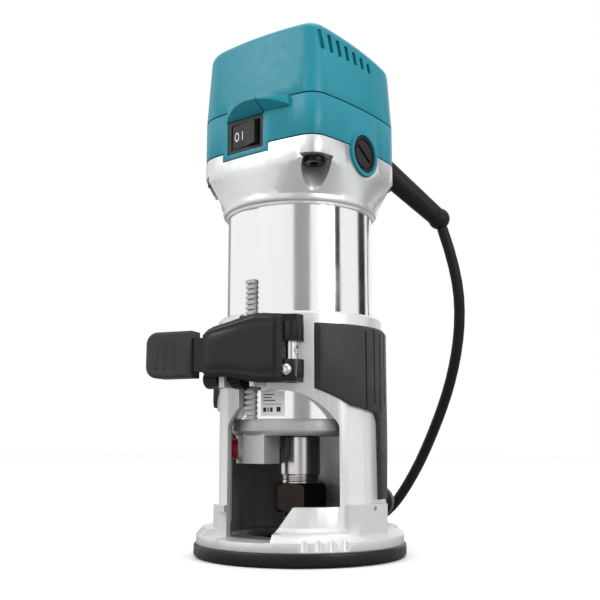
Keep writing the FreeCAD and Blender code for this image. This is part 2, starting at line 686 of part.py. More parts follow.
def make_brushes():
    holders, brushes, caps = [], [], []
    for side, sign in (("right", "1"), ("left", "-1")):
        turn = "90 * %s" % sign
        tube = cylinder("holder_%s_outer" % side, "5.2", "16.6", axis=(0, 1, 0), turn=turn,
                        x="11.6 * %s" % sign, y="brush_y", z="brush_z")
        hole = box("holder_%s_hole" % side, "17", "5.1", "8.1", x="11 * %s - 8.5 + 8.5 * %s" % (sign, sign),
                   y="brush_y - 2.55", z="brush_z - 4.05")
        holders.append(cut("holder_%s" % side, tube, hole))
        brushes.append(box("brush_%s" % side, "13", "5", "8", x="11.1 * %s - 6.5 + 6.5 * %s" % (sign, sign),
                           y="brush_y - 2.5", z="brush_z - 4"))
        disc = cylinder("cap_%s_disc" % side, "brush_cap_r", "8.6", axis=(0, 1, 0), turn=turn,
                        x="28.2 * %s" % sign, y="brush_y", z="brush_z")
        slot = box("cap_%s_slot" % side, "4", "11", "1.4", x="35.6 * %s - 2 + 2 * %s" % (sign, sign),
                   y="-5.5", z="-0.7")
        slot_turned = place(group("cap_%s_slot_turned" % side, [slot]), y="brush_y", z="brush_z",
                            turn="-33",
                            axis=(1, 0, 0))
        rim = cylinder("cap_%s_rim" % side, "6.9", "4", axis=(0, 1, 0), turn=turn, x="36.1 * %s" % sign,
                       y="brush_y", z="brush_z")
        middle = cylinder("cap_%s_middle" % side, "6.1", "5", axis=(0, 1, 0), turn=turn, x="35 * %s" % sign,
                          y="brush_y", z="brush_z")
        groove = cut("cap_%s_groove" % side, rim, middle)
        caps.append(cut("cap_%s" % side, disc, fuse("cap_%s_tools" % side, [slot_turned, groove])))
    node(group("holders", holders), "brush_holders")
    node(group("brushes", brushes), "carbon_brushes")
    node(group("caps", caps), "brush_caps")


def make_controls():
    frame = box("switch_frame", "switch_width", "2.4", "switch_tall", x="switch_x - switch_width / 2",
                y="-35.4", z="switch_z - switch_tall / 2")
    case = box("switch_case", "switch_width - 2.4", "10", "switch_tall - 1.6",
               x="switch_x - switch_width / 2 + 1.2", y="-33.1", z="switch_z - switch_tall / 2 + 0.8")
    opening = box("switch_opening", "2 * rocker_half + 1.9", "8.2", "rocker_tall + 0.7",
                  x="switch_x - rocker_half - 0.95", y="-36.5", z="switch_z - rocker_tall / 2 - 0.35")
    bearing = cylinder("rocker_bearing", "1.1", "rocker_tall + 2.8", x="switch_x", y="-rocker_pivot",
                       z="switch_z - rocker_tall / 2 - 1.4")
    node(cut("switch_shape", fuse("switch_blank", [frame, case]), fuse("switch_tools", [opening, bearing])),
         "switch_body")
    rocker = new_body("rocker_body")
    outline = [("-rocker_half", "-3.4"), ("0", "-2.7"), ("rocker_half", "-3.4"), ("rocker_half", "0"),
               ("2", "2.8"), ("-2", "2.8"), ("-rocker_half", "0")]
    pad(rocker, polygon(rocker, "rocker_outline", outline, "XY_Plane", "-rocker_tall / 2"), "rocker_tall")
    place(rocker, "switch_x", "-rocker_pivot", "switch_z", turn="-rocker_tilt")
    trunnion = cylinder("rocker_trunnion", "1.0", "rocker_tall + 2.4", x="switch_x", y="-rocker_pivot",
                        z="switch_z - rocker_tall / 2 - 1.2")
    node(fuse("rocker_shape", [rocker, trunnion]), "rocker")
    dial = turned("dial_wheel",
                  [("0", "head_top - 5.8"), ("8.3", "head_top - 5.8"), ("8.3", "head_top - 4.3"),
                                 ("7.9", "head_top - 3.9"), ("0", "head_top - 3.9")])
    dial.setExpression("Placement.Base.x", ref("14"))
    dial.setExpression("Placement.Base.y", ref("17"))
    stem = cylinder("dial_stem", "2", "8", x="14", y="17", z="head_top - 12.8")
    node(fuse("dial", [dial, stem]), "speed_dial")
    board = box("board_plate", "40", "30", "1.6", x="-20", y="-4", z="206.4")
    pot = cylinder("board_pot", "5", "7", x="14", y="17", z="208")
    pot_bore = cylinder("board_pot_bore", "2.05", "9", x="14", y="17", z="209")
    parts = fuse("board_blank",
                 [board, pot, box("board_chip", "14", "12", "4.5", x="-16", y="4", z="207.9")])
    node(cut("board", parts, pot_bore), "controller_board")


# Base -------------------------------------------------------------------------------------------

def make_base_blank():
    """The casting before its windows: flange, floor and barrel."""
    outline = [("floor_bore_r", "plate_thick"), ("flange_r", "plate_thick"),
               ("flange_r", "flange_high - 3.4"),
               ("flange_r - 2.6", "flange_high - 0.6"), ("barrel_r + 1.2", "flange_high"),
               ("barrel_r", "flange_high + 1.4"),
               ("barrel_r", "rim_high - 1"), ("barrel_r - 1", "rim_high"),
               ("barrel_bore_r + 0.8", "rim_high"),
               ("barrel_bore_r", "rim_high - 0.8"), ("barrel_bore_r", "floor_high"),
               ("floor_bore_r", "floor_high")]
    return turned("base_blank", outline)


def make_window(name):
    """The front window: open to the floor on its left, stopped by a low fence on its right."""
    body = new_body(name)
    sketch = sketch_on(body, name + "_outline", "XZ_Plane", "10")
    left, right = "-window_half", "window_half"
    points = [("-2.6", "floor_high"), ("6.6", "fence_high"), (right, "fence_high"),
              (right, "window_spring"),
              (left, "window_spring"), (left, "floor_high")]
    spots = [V(value(px), value(py), 0) for px, py in points]
    order = [(0, 1), (1, 2), (2, 3), (4, 5), (5, 0)]
    for first, second in order:
        sketch.addGeometry(Part.LineSegment(spots[first], spots[second]))
    sketch.addGeometry(Part.Arc(spots[3], V(0, value("window_top"), 0), spots[4]))
    joints = [(0, 2, 1, 1), (1, 2, 2, 1), (2, 2, 5, 1), (5, 2, 3, 1), (3, 2, 4, 1), (4, 2, 0, 1)]
    arc_start = sketch.Geometry[5].StartPoint
    if arc_start.distanceToPoint(spots[3]) > 0.01:
        joints[2], joints[3] = (2, 2, 5, 2), (5, 1, 3, 1)
    for first, first_end, second, second_end in joints:
        sketch.addConstraint(Sketcher.Constraint("Coincident", first, first_end, second, second_end))
    for (first, _), geometry in zip(order, range(5)):
        pin_point(sketch, geometry, 1, *points[first])
    pin_point(sketch, 2, 2, *points[3])
    rise = "(window_top - window_spring)"
    radius = "((window_half ^ 2 + %s ^ 2) / (2 * %s))" % (rise, rise)
    index = sketch.addConstraint(Sketcher.Constraint("Radius", 5, value(radius)))
    sketch.setExpression("Constraints[%d]" % index, ref(radius))
    pad(body, sketch, "45")
    return body


def make_base_casting():
    solids = [make_base_blank()]
    window = make_window("front_window")
    lever = "lever_azimuth"
    left_foot = box("left_foot", "11", "9.5", "fence_high - plate_thick - 1", x="-5.5", y="-38.6",
                    z="plate_thick + 1")
    right_foot = box("right_foot", "17", "12", "fence_high - plate_thick", x="-8.5", y="-42.4",
                     z="plate_thick + 1")
    ear_right = box("ear_right", "8.9", "ear_out - 34.4", "ear_high - ear_low", x="-2.3", y="-ear_out",
                    z="ear_low")
    ear_left = box("ear_left", "8", "ear_out - 30", "ear_high - ear_low", x="-22", y="-ear_out",
                   z="ear_low")
    lug_left = box("lug_left", "3", "pinion_n + 3.6 - 34", "7.4", x="-8.9", y="-pinion_n - 3.6",
                   z="pinion_z - 3.9")
    lug_right = box("lug_right", "2.2", "pinion_n + 3.2 - 33.6", "7.4", x="7.4", y="-pinion_n - 3.2",
                    z="pinion_z - 3.9")
    guide = cylinder("guide_boss", "5.2", "guide_face - 17", axis=(1, 0, 0), turn="-90", x="guide_x",
                     y="17",
                     z="guide_z")
    guide_foot = box("guide_foot", "10.4", "guide_face - 18", "guide_z - plate_thick - 1",
                     x="guide_x - 5.2", y="17",
                     z="plate_thick + 1")
    local = fuse("base_local", [solids[0], guide, guide_foot])
    turned_base = turned_to("base_turned", local, "window_azimuth")
    outer = fuse("base_outer", [
        turned_base, turned_to("left_foot_turned", left_foot, "-22"),
        turned_to("right_foot_turned", right_foot, "82"),
        turned_to("ear_right_turned", ear_right, lever), turned_to("ear_left_turned", ear_left, lever),
        lug_left, lug_right])
    side = box("side_window", "30", "side_far - side_near", "side_top - flange_high", x="-60",
               y="side_near",
               z="flange_high")
    rear = box("rear_window", "2 * rear_half", "40", "rear_top - flange_high", x="-rear_half", y="20",
               z="flange_high")
    step = box("flange_step", "60", "20", "10", x="-60", y="-47", z="9.2")
    step_keep = cylinder("flange_step_keep", "barrel_r + 0.4", "30", z="0")
    local_tools = fuse("base_local_tools", [window, side, rear, cut("flange_step_ring", step, step_keep)])
    bore = cylinder("barrel_bore", "barrel_bore_r", "rim_high", z="floor_high")
    slit = box("slit", "slit_width", "20", "rim_high - 50", x="-slit_width / 2", y="-48", z="60")
    slit_limit = cylinder("slit_limit", "barrel_r + 0.3", "60", z="55")
    bolt = lever_frame_bolt("base_bolt_hole", "bolt_r + 0.15", "-30", "8")
    pinion_hole = cylinder("pinion_hole", "2.05", "24", axis=(0, 1, 0), turn="90", x="-10",
                           y="-pinion_n", z="pinion_z")
    tap = cylinder("guide_tap", "guide_thread_r", "9", axis=(1, 0, 0), turn="-90", x="guide_x",
                   y="guide_face - 7.5", z="guide_z")
    pinhole = radial_cylinder("foot_pinhole", "1.0", "39", "44", "83.5", "21.2")
    tools = [turned_to("base_local_tools_turned", local_tools, "window_azimuth"), bore,
             common("slit_tool", [turned_to("slit_turned", slit, "slit_azimuth"), slit_limit]), bolt,
             pinion_hole,
             turned_to("guide_tap_turned", tap, "window_azimuth"), pinhole]
    for i, angle in enumerate((40, 47, 54, 61)):
        flute = cylinder("rim_flute_%d" % i, "1.9", "flange_high - plate_thick - 2.5", y="-flange_r - 1.1",
                         z="plate_thick + 0.5")
        tools.append(turned_to("rim_flute_turned_%d" % i, flute, str(angle)))
    screw_holes = plate_screws("plate_screw_hole", "1.65", "plate_thick - 1", "8")
    return node(cut("base_shape", outer, fuse("base_tools", tools + screw_holes)), "base_casting")


def lever_frame_bolt(name, radius, start, length_end):
    """A cylinder along the clamp bolt's line, between two places on it, turned to the lever's azimuth."""
    item = cylinder(name, radius, "(%s) - (%s)" % (length_end, start), axis=(0, 1, 0), turn="90",
                    x=start, y="-pin_n", z="bolt_z")
    return turned_to(name + "_turned", item, "lever_azimuth")


def plate_screws(name, radius, low, height):
    """One cylinder on each of the four base plate screws' axes."""
    items = []
    for i, angle in enumerate(PLATE_SCREW_ANGLES):
        item = cylinder("%s_%d" % (name, i), radius, height)
        items.append(place(item, "28 * sin(%d * 1deg)" % angle, "-28 * cos(%d * 1deg)" % angle, low))
    return items


def make_base_plate():
    disc = turned("plate_disc", [("plate_bore_r", "0"), ("plate_r - 1", "0"), ("plate_r", "1"),
                                 ("plate_r", "plate_thick - 0.6"), ("plate_r - 0.6", "plate_thick"),
                                 ("floor_bore_r - 0.2", "plate_thick"),
                                 ("floor_bore_r - 0.2", "plate_thick + 1"),
                                 ("plate_bore_r", "plate_thick + 1")])
    tools = plate_screws("plate_hole", "2.0", "-1", "9") + plate_screws("plate_sink", "3.4", "-1", "3.6")
    node(cut("plate", disc, fuse("plate_tools", tools)), "base_plate")
    heads = plate_screws("plate_screw_head", "3.2", "0.3", "2.2")
    shanks = plate_screws("plate_screw_shank", "1.6", "2.2", "6.2")
    sockets = plate_screws("plate_screw_slot", "1.3", "0", "1.3")
    screws = [cut("plate_screw_%d" % i, fuse("plate_screw_blank_%d" % i, [heads[i], shanks[i]]), sockets[i])
              for i in range(4)]
    node(group("plate_screw_set", screws), "plate_screws")


def grip(name, azimuth, points, outer="grip_r"):
    """A rubber skin on the barrel: a shell trimmed by an outline drawn on a plane facing an azimuth."""
    shell = turned(name + "_shell", [("barrel_r + 0.02", "18"), ("%s - 0.6" % outer, "18"), (outer, "19"),
                                     (outer, "grip_high - 1.6"), ("%s - 1.2" % outer, "grip_high + 0.1"),
                                     ("barrel_r + 0.02", "grip_high + 0.1")])
    trim = new_body(name + "_trim")
    pad(trim, polygon(trim, name + "_outline", points, "XZ_Plane", "8"), "40")
    return common(name + "_shape", [shell, turned_to(name + "_trim_turned", trim, azimuth)])


def make_grips():
    right = grip("grip_right", "100",
                 [("-29", "grip_high"), ("-29", "68.8"), ("-17", "62.2"), ("-3", "59.6"),
                                       ("-0.6", "56"), ("0.4", "24"), ("9", "24"), ("14", "52"),
                                       ("26", "62"),
                                       ("26", "grip_high")])
    grooves = []
    for i, angle in enumerate((84, 93, 101, 109)):
        groove = box("grip_groove_%d" % i, "0.9", "4", "33", x="-0.45", y="-grip_r - 3.3",
                     z="%d" % (60 + 3 * (i % 2)))
        grooves.append(turned_to("grip_groove_turned_%d" % i, groove, str(angle)))
    node(cut("grip_right_cut", right, fuse("grip_grooves", grooves)), "right_grip")
    left = grip("grip_left", "-78", [("-22", "grip_high"), ("-22", "66"), ("-16", "62.5"), ("16", "62.5"),
                                    ("24", "68"), ("24", "grip_high")])
    node(left, "left_grip")


def make_deflector():
    wall = ring("deflector_wall", "barrel_bore_r + 2.6", "barrel_bore_r + 1.2", "flange_high + 0.2",
                "rear_top - 0.2")
    trim = box("deflector_trim", "2 * rear_half - 0.4", "40", "70", x="-rear_half + 0.2", y="10", z="10")
    node(common("deflector", [wall, turned_to("deflector_trim_turned", trim, "window_azimuth")]),
         "chip_deflector")


# Clamp lever ------------------------------------------------------------------------------------

def make_lever():
    wall = new_body("lever_wall_body")
    outline = [("11", "70.8"), ("11", "97.4"), ("-1", "98.2"), ("-12.5", "95.2"), ("-21.5", "93.0"),
               ("-24.2", "90.6"), ("-24.2", "89.6"), ("-33", "89.2"), ("-33", "76.4"), ("-24.2", "75.4"),
               ("-21.5", "73.6"), ("-12.5", "73.8"), ("-6", "72.2"), ("0", "70.9")]
    pad(wall, polygon(wall, "lever_outline", outline, "XZ_Plane", "lever_face - lever_wall"), "lever_wall")
    cheeks = []
    for label, low, high, left in (("top", "94.6", "97.6", "-8"), ("bottom", "70.8", "72.8", "3.5")):
        cheek = new_body("lever_cheek_" + label)
        points = [(left, "-lever_face + 0.6"), (left, "-38.6"), ("pin_u - 5.4", "-pin_n + 1.6"),
                  ("pin_u", "-pin_n + 5.3"),
                  ("pin_u + 3.8", "-pin_n + 3.8"), ("pin_u + 5.3", "-pin_n"),
                  ("pin_u + 3.8", "-pin_n - 3.8"),
                  ("11", "-lever_face + 0.6")]
        pad(cheek, polygon(cheek, "lever_cheek_%s_outline" % label, points, "XY_Plane", low),
            "%s - (%s)" % (high, low))
        cheeks.append(cheek)
    lobes = [cylinder("lobe_top", "5.2", "7.8", x="pin_u", y="-pin_n", z="86.9"),
             cylinder("lobe_bottom", "5.2", "7", x="pin_u", y="-pin_n", z="72.7")]
    blank = fuse("lever_blank", [wall] + cheeks + lobes)
    hole = cylinder("lever_pin_hole", "pin_r + 0.05", "40", x="pin_u", y="-pin_n", z="65")
    shape = cut("lever_shape", blank, hole)
    node(turned_to("lever", shape, "lever_azimuth"), "clamp_lever")
    pad_body = new_body("pad_block")
    face = [("-29", "73.4"), ("-29", "92.6"), ("-50", "92.6"), ("-50", "73.4")]
    pad(pad_body, polygon(pad_body, "pad_outline", face, "XZ_Plane", "lever_face - 6.6"), "9")
    fillet(pad_body, "5", lambda edge: edge.CenterOfMass.x < -49.9 and edge.BoundBox.YLength > 1)
    fillet(pad_body, "1.6", lambda edge: edge.CenterOfMass.y < -value("lever_face") - 2.2)
    slot = box("pad_socket", "5", "lever_wall + 0.1", "14", x="-33.05", y="-lever_face - 0.05", z="75.7")
    node(turned_to("pad_turned", cut("pad_shape", pad_body, slot), "lever_azimuth"), "lever_pad")


def make_clamp_hardware():
    pin = cylinder("pin_rod", "pin_r", "26.0", x="pin_u", y="-pin_n", z="71.2")
    hole = cylinder("pin_cross_hole", "bolt_r + 0.02", "12", axis=(0, 1, 0), turn="90", x="pin_u - 6",
                    y="-pin_n", z="bolt_z")
    node(turned_to("pin", cut("pin_shape", pin, hole), "lever_azimuth"), "lever_pin")
    node(lever_frame_bolt("bolt_shank", "bolt_r", "-27.4", "pin_u + 2"), "clamp_bolt")
    prism = doc.addObject("Part::Prism", "nut_hex")
    prism.Polygon = 6
    bind(prism, Circumradius="7 / sqrt(3)", Height="3.2")
    place(prism, "-25.3", "-pin_n", "bolt_z", turn="90", axis=(0, 1, 0))
    bore = cylinder("nut_hex_bore", "bolt_r", "8", axis=(0, 1, 0), turn="90", x="-28", y="-pin_n",
                    z="bolt_z")
    node(turned_to("hex_nut", cut("hex_nut_shape", prism, bore), "lever_azimuth"), "clamp_nut")


def make_pinion():
    shaft = cylinder("pinion_rod", "2.0", "19.6", axis=(0, 1, 0), turn="90", x="-10.2", y="-pinion_n",
                     z="pinion_z")
    gear = cylinder("pinion_gear", "pinion_r", "5.6", axis=(0, 1, 0), turn="90", x="-2.8",
                    y="-pinion_n", z="pinion_z")
    gaps = []
    for i in range(15):
        gap = cylinder("pinion_gap_%d" % i, "0.5", "12", axis=(0, 1, 0), turn="90")
        gaps.append(place(gap, "-4", "-pinion_n - pinion_r * sin(%d * 24deg)" % i,
                          "pinion_z + pinion_r * cos(%d * 24deg)" % i, turn="90", axis=(0, 1, 0)))
    node(cut("pinion", fuse("pinion_blank", [shaft, gear]), fuse("pinion_gaps", gaps)), "depth_pinion")
    knob = cylinder("knob_round", "4.0", "7.6", axis=(0, 1, 0), turn="90", x="-17.8", y="-pinion_n",
                    z="pinion_z")
    node(knob, "pinion_knob")


def make_guide_screw():
    shank = cylinder("guide_shank", "guide_thread_r - 0.1", "10.5", axis=(1, 0, 0), turn="-90", x="guide_x",
                     y="guide_face - 7", z="guide_z")
    knob = cylinder("guide_knob_round", "7.3", "7.2", axis=(1, 0, 0), turn="-90", x="guide_x",
                    y="guide_face + 2.2",
                    z="guide_z")
    node(turned_to("guide_screw", fuse("guide_screw_shape", [shank, knob]), "window_azimuth"),
         "guide_screw")


# Cord -------------------------------------------------------------------------------------------

def make_guard():
    """The bend protector: a tapered sleeve from the back of the head, with a round end."""
    line = GUARD_END - GUARD_ROOT
    profile = [V(0, 0, 0), V(5.9, 0, 0), V(5.9, 0, 6), V(4.7, 0, line.Length - 3),
               V(0, 0, line.Length - 3), V(0, 0, 0)]
    sleeve = Part.Face(Part.makePolygon(profile)).revolve(V(), V(0, 0, 1), 360)
    sleeve.Placement = FreeCAD.Placement(GUARD_ROOT, FreeCAD.Rotation(V(0, 0, 1), line))
    ball = Part.makeSphere(5.3, GUARD_END)
    first = CORD_ROUTE[1] - CORD_ROUTE[0]
    first.normalize()
    block = Part.makeCylinder(9, 12, CORD_ROUTE[0], first)
    shape = sleeve.fuse(ball).cut(block).removeSplitter()
    item = doc.addObject("Part::Feature", "guard")
    item.Shape = shape
    node(item, "cord_guard")


def rounded_path(points):
    """Straight runs joined by tangent arcs, each as large as its two runs allow."""
    edges = []
    start = points[0]
    radii = []
    for before, corner, after in zip(points, points[1:], points[2:]):
        run_in, run_out = (corner - before), (after - corner)
        shorter = min(run_in.Length, run_out.Length)
        turn = run_in.getAngle(run_out)
        reach = 0.45 * shorter
        radii.append(reach / math.tan(turn / 2))
        run_in.normalize()
        run_out.normalize()
        first, last = corner - run_in * reach, corner + run_out * reach
        bisector = (run_out - run_in).normalize()
        middle = corner + bisector * (radii[-1] / math.cos(turn / 2) - radii[-1])
        edges.append(Part.LineSegment(start, first).toShape())
        edges.append(Part.Arc(first, middle, last).toShape())
        start = last
    edges.append(Part.LineSegment(start, points[-1]).toShape())
    print("cord arc radii:", [round(r, 1) for r in radii])
    return Part.Wire(edges)


def make_cord():
    path = rounded_path(CORD_ROUTE)
    radius = value("cord_r")
    section = Part.Wire(Part.makeCircle(radius, CORD_ROUTE[0], CORD_ROUTE[1] - CORD_ROUTE[0]))
    tube = path.makePipeShell([section], True, False)
    print("cord tube volume over section x length:", tube.Volume / (math.pi * radius ** 2 * path.Length))
    item = doc.addObject("Part::Feature", "cord_tube")
    item.Shape = tube
    node(item, "cord")
    coil = ring("cord_coil", "coil_middle_r + coil_across / 2", "coil_middle_r - coil_across / 2", "0",
                "coil_high")
    coil.Placement.Base = COIL_CENTRE
    node(coil, "cord_coil")


def make_plug():
    """A two-pin mains plug lying on the coil."""
    body = box("plug_body", "35", "26", "13", x="-85.7", y="71", z="coil_high")
    collar = cylinder("plug_collar", "5", "10", axis=(0, 1, 0), turn="90", x="-50.8", y="84",
                      z="coil_high + 6.5")
    pins = [cylinder("plug_pin_%d" % i, "2.0", "19", axis=(0, 1, 0), turn="90", x="-104.6", y=y,
                     z="coil_high + 6.5")
            for i, y in enumerate(("74.5", "93.5"))]
    node(fuse("plug_shape", [body, collar] + pins), "plug")


def make_all():
    make_head_casting()
    make_switch_housing()
    make_top_cover()
    make_head_screws()
    make_tube()
    make_rack()
    make_end_bracket()
    make_shaft_lock()
    make_spindle()
    make_collet_nut()
    make_motor()
    make_brushes()
    make_controls()
    make_base_casting()
    make_base_plate()
    make_grips()
    make_deflector()
    make_lever()
    make_clamp_hardware()
    make_pinion()
    make_guide_screw()
    make_guard()
    make_cord()
    make_plug()


def check_and_write():
    doc.recompute()
    bad = [item.Name for item in doc.Objects if "Invalid" in item.State or "Error" in item.State]
    if bad:
        raise RuntimeError("failed objects: %s" % bad)
    for item in nodes:
        shape = item.Shape
        if shape.isNull() or not shape.isValid() or not shape.Solids:
            raise RuntimeError("bad shape: %s" % item.Label)
    os.makedirs("parts", exist_ok=True)
    for item in nodes:
        item.Shape.exportStep("parts/%s.step" % item.Label)
        print("%-22s solids %d volume %.0f" % (item.Label, len(item.Shape.Solids), item.Shape.Volume))


make_all()
check_and_write()
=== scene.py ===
import math
import bpy
from mathutils import Matrix, Vector


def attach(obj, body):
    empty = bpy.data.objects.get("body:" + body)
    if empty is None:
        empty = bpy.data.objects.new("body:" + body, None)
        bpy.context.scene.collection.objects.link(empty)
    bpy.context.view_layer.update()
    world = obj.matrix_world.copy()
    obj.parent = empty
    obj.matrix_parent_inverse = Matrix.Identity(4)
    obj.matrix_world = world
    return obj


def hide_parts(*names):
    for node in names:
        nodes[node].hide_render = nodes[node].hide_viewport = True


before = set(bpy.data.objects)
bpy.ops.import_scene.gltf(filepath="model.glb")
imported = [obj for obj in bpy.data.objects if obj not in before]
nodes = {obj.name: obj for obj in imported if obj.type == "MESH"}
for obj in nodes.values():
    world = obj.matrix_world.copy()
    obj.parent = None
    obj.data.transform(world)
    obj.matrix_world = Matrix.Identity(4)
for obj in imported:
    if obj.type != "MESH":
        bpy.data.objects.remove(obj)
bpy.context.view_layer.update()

# A trim router on a pale studio floor. Metres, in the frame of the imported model: +Z up, the spindle
# on the Z axis, the switch on the -Y side and a brush cap on the +X side.

MM = 0.001
scene = bpy.context.scene


# Camera -------------------------------------------------------------------------------------------

CAMERA_AZIMUTH = math.radians(38.0)
CAMERA_PITCH = math.radians(9.38)
CAMERA_DISTANCE = 0.387
CAMERA_HEIGHT = 0.0468
SENSOR_WIDTH = 36.0
LENS = 52.2
NEAREST_SEEN = 0.01


def make_camera():
    data = bpy.data.cameras.new("camera")
    data.sensor_width = SENSOR_WIDTH
    data.lens = LENS
    data.clip_start = NEAREST_SEEN
    camera = bpy.data.objects.new("camera", data)
    camera.location = (CAMERA_DISTANCE * math.sin(CAMERA_AZIMUTH),
                       -CAMERA_DISTANCE * math.cos(CAMERA_AZIMUTH), CAMERA_HEIGHT)
    camera.rotation_euler = (math.radians(90) + CAMERA_PITCH, 0, CAMERA_AZIMUTH)
    scene.collection.objects.link(camera)
    scene.camera = camera


make_camera()


# Cord ---------------------------------------------------------------------------------------------

# The places here are in millimetres. The cord runs from the bend protector down to the floor, round
# its coil in three layers, off over the coil's top, and by a half turn into the plug. The route ends
# where the coil starts, so the coil's own first points are left out.
CORD_R = 2.7 * MM
CORD_ROUTE = [(35.1, 69.7, 152.3), (39.8, 74.9, 131.4), (37.2, 82.4, 105), (26.2, 91.5, 78),
              (9.6, 101.4, 53), (-7.8, 110.7, 31), (-26.9, 117.3, 11), (-44.8, 122.3, 2.7),
              (-60.1, 125.7, 2.7)]
COIL_CENTRE = Vector((-68.2, 87.3, 0)) * MM
COIL_OUTER = 39.1 * MM
COIL_INNER = 22.9 * MM
COIL_LAYERS = 3
LAYER_TURNS = 3.0
CLIMB_TURNS = 0.25
COIL_TURNS = 9.4
POINTS_PER_TURN = 24
FIRST_COIL_POINT = 2
TAIL_START = [(-87.9, 74.3, 14.6), (-84.2, 69, 16.8), (-80, 64.2, 18.8), (-75.6, 59.8, 20),
              (-71, 55.6, 20.5), (-65.7, 51.2, 20.7), (-60, 47.2, 20.8), (-53, 43.9, 21),
              (-46, 41.6, 21.2), (-39.2, 40.1, 21.4)]
LOOP_CENTRE = (-32.5, 61.85)
LOOP_R = 22.15
LOOP_LOW = 21.5
LOOP_RISE = 1.2
LOOP_STEPS = 14
TAIL_END = [(-40.8, 84, 22.7), (-46, 84, 22.7)]


def coil_place(turn):
    """Radius and height after a number of turns: three layers, wound in, out and in again."""
    span = LAYER_TURNS + CLIMB_TURNS
    layer = min(int(turn / span), COIL_LAYERS - 1)
    along = turn - layer * span
    across = min(along / LAYER_TURNS, 1)
    if layer == 1:
        across = 1 - across
    climb = max(0, (along - LAYER_TURNS) / CLIMB_TURNS)
    lift = climb * climb * (3 - 2 * climb)
    radius = COIL_OUTER + (COIL_INNER - COIL_OUTER) * across
    return radius, CORD_R * (1 + 2 * (layer + lift))


def tail_loop():
    """The half turn over the coil that brings the cord's far end back to the plug."""
    places = []
    for step in range(LOOP_STEPS + 1):
        share = step / LOOP_STEPS
        angle = math.pi * share
        places.append((LOOP_CENTRE[0] + LOOP_R * math.sin(angle),
                       LOOP_CENTRE[1] - LOOP_R * math.cos(angle), LOOP_LOW + LOOP_RISE * share))
    return places


def cord_points():
    """The cord's control points, from the bend protector to the plug."""
    points = [Vector(place) * MM for place in CORD_ROUTE]
    last = points[-1] - COIL_CENTRE
    start = math.atan2(last.y, last.x)
    for step in range(FIRST_COIL_POINT, int(COIL_TURNS * POINTS_PER_TURN)):
        turn = step / POINTS_PER_TURN
        radius, height = coil_place(turn)
        angle = start + math.tau * turn
        offset = Vector((radius * math.cos(angle), radius * math.sin(angle), height))
        points.append(COIL_CENTRE + offset)
    return points + [Vector(place) * MM for place in TAIL_START + tail_loop() + TAIL_END]


def nurbs_curve(name, points, radius):
    data = bpy.data.curves.new(name, "CURVE")
    data.dimensions = "3D"
    spline = data.splines.new("NURBS")
    spline.points.add(len(points) - 1)
    for point, place in zip(spline.points, points):
        point.co = (*place, 1.0)
    spline.order_u = 3
    spline.use_endpoint_u = True
    spline.resolution_u = 4
    data.bevel_depth = radius
    data.bevel_resolution = 5
    data.use_fill_caps = True
    curve = bpy.data.objects.new(name, data)
    scene.collection.objects.link(curve)
    return curve


cord_line = nurbs_curve("mains_cord", cord_points(), CORD_R)


# Shader helpers -----------------------------------------------------------------------------------

class Shader:
    """A material with a Principled shader, and short calls for the nodes that feed it."""

    def __init__(self, name, **values):
        self.material = bpy.data.materials.new(name)
        self.material.use_nodes = True
        self.tree = self.material.node_tree
        self.principled = self.tree.nodes["Principled BSDF"]
        for socket_name, amount in values.items():
            socket = self.principled.inputs[socket_name.replace("_", " ")]
            socket.default_value = (*amount, 1.0) if isinstance(amount, tuple) else amount
        coordinates = self.tree.nodes.new("ShaderNodeTexCoord")
        self.place = coordinates.outputs["Object"]

    def node(self, kind, **values):
        made = self.tree.nodes.new("ShaderNode" + kind)
        for name, amount in values.items():
            made.inputs[name].default_value = amount
        return made

    def link(self, output, socket):
        self.tree.links.new(output, socket)

    def stretched(self, x, y, z):
        """The object's own coordinates, scaled along each axis."""
        mapping = self.node("Mapping")
        mapping.inputs["Scale"].default_value = (x, y, z)
        self.link(self.place, mapping.inputs["Vector"])
        return mapping.outputs["Vector"]

    def noise(self, scale, detail=2.0, roughness=0.5, place=None):
        made = self.node("TexNoise", Scale=scale, Detail=detail, Roughness=roughness)
        self.link(place or self.place, made.inputs["Vector"])
        return made.outputs["Fac"]

    def cells(self, scale):
        made = self.node("TexVoronoi", Scale=scale)
        self.link(self.place, made.inputs["Vector"])
        return made.outputs["Distance"]

    def ramp(self, value, low, high, low_to, high_to):
        """A value carried from one range to another, and held at its ends."""
        made = self.node("MapRange")
        ends = {"From Min": low, "From Max": high, "To Min": low_to, "To Max": high_to}
        for name, amount in ends.items():
            made.inputs[name].default_value = amount
        self.link(value, made.inputs["Value"])
        return made.outputs["Result"]

    def mix(self, factor, first, second):
        """A colour between two, by a factor from 0 to 1."""
        made = self.tree.nodes.new("ShaderNodeMix")
        made.data_type = "RGBA"
        inputs = [s for s in made.inputs if s.type == "RGBA"]
        for socket, colour in zip(inputs, (first, second)):
            if isinstance(colour, tuple):
                socket.default_value = (*colour, 1.0)
            else:
                self.link(colour, socket)
        self.link(factor, [s for s in made.inputs if s.type == "VALUE"][0])
        return [s for s in made.outputs if s.type == "RGBA"][0]

    def bump(self, height, strength, distance, under=None):
        """Relief on the surface, over an earlier relief if there is one."""
        made = self.node("Bump", Strength=strength, Distance=distance)
        self.link(height, made.inputs["Height"])
        if under is not None:
            self.link(under, made.inputs["Normal"])
        self.link(made.outputs["Normal"], self.principled.inputs["Normal"])
        return made.outputs["Normal"]

    def colour(self, output):
        self.link(output, self.principled.inputs["Base Color"])

    def roughness(self, output):
        self.link(output, self.principled.inputs["Roughness"])


# Materials ----------------------------------------------------------------------------------------

# Noise mostly lies between these two, so a ramp from one to the other uses the whole of its range.
NOISE_LOW = 0.3
NOISE_HIGH = 0.7


def shaded(colour, share):
    """A darker or a lighter colour of the same hue."""
    return tuple(channel * share for channel in colour)


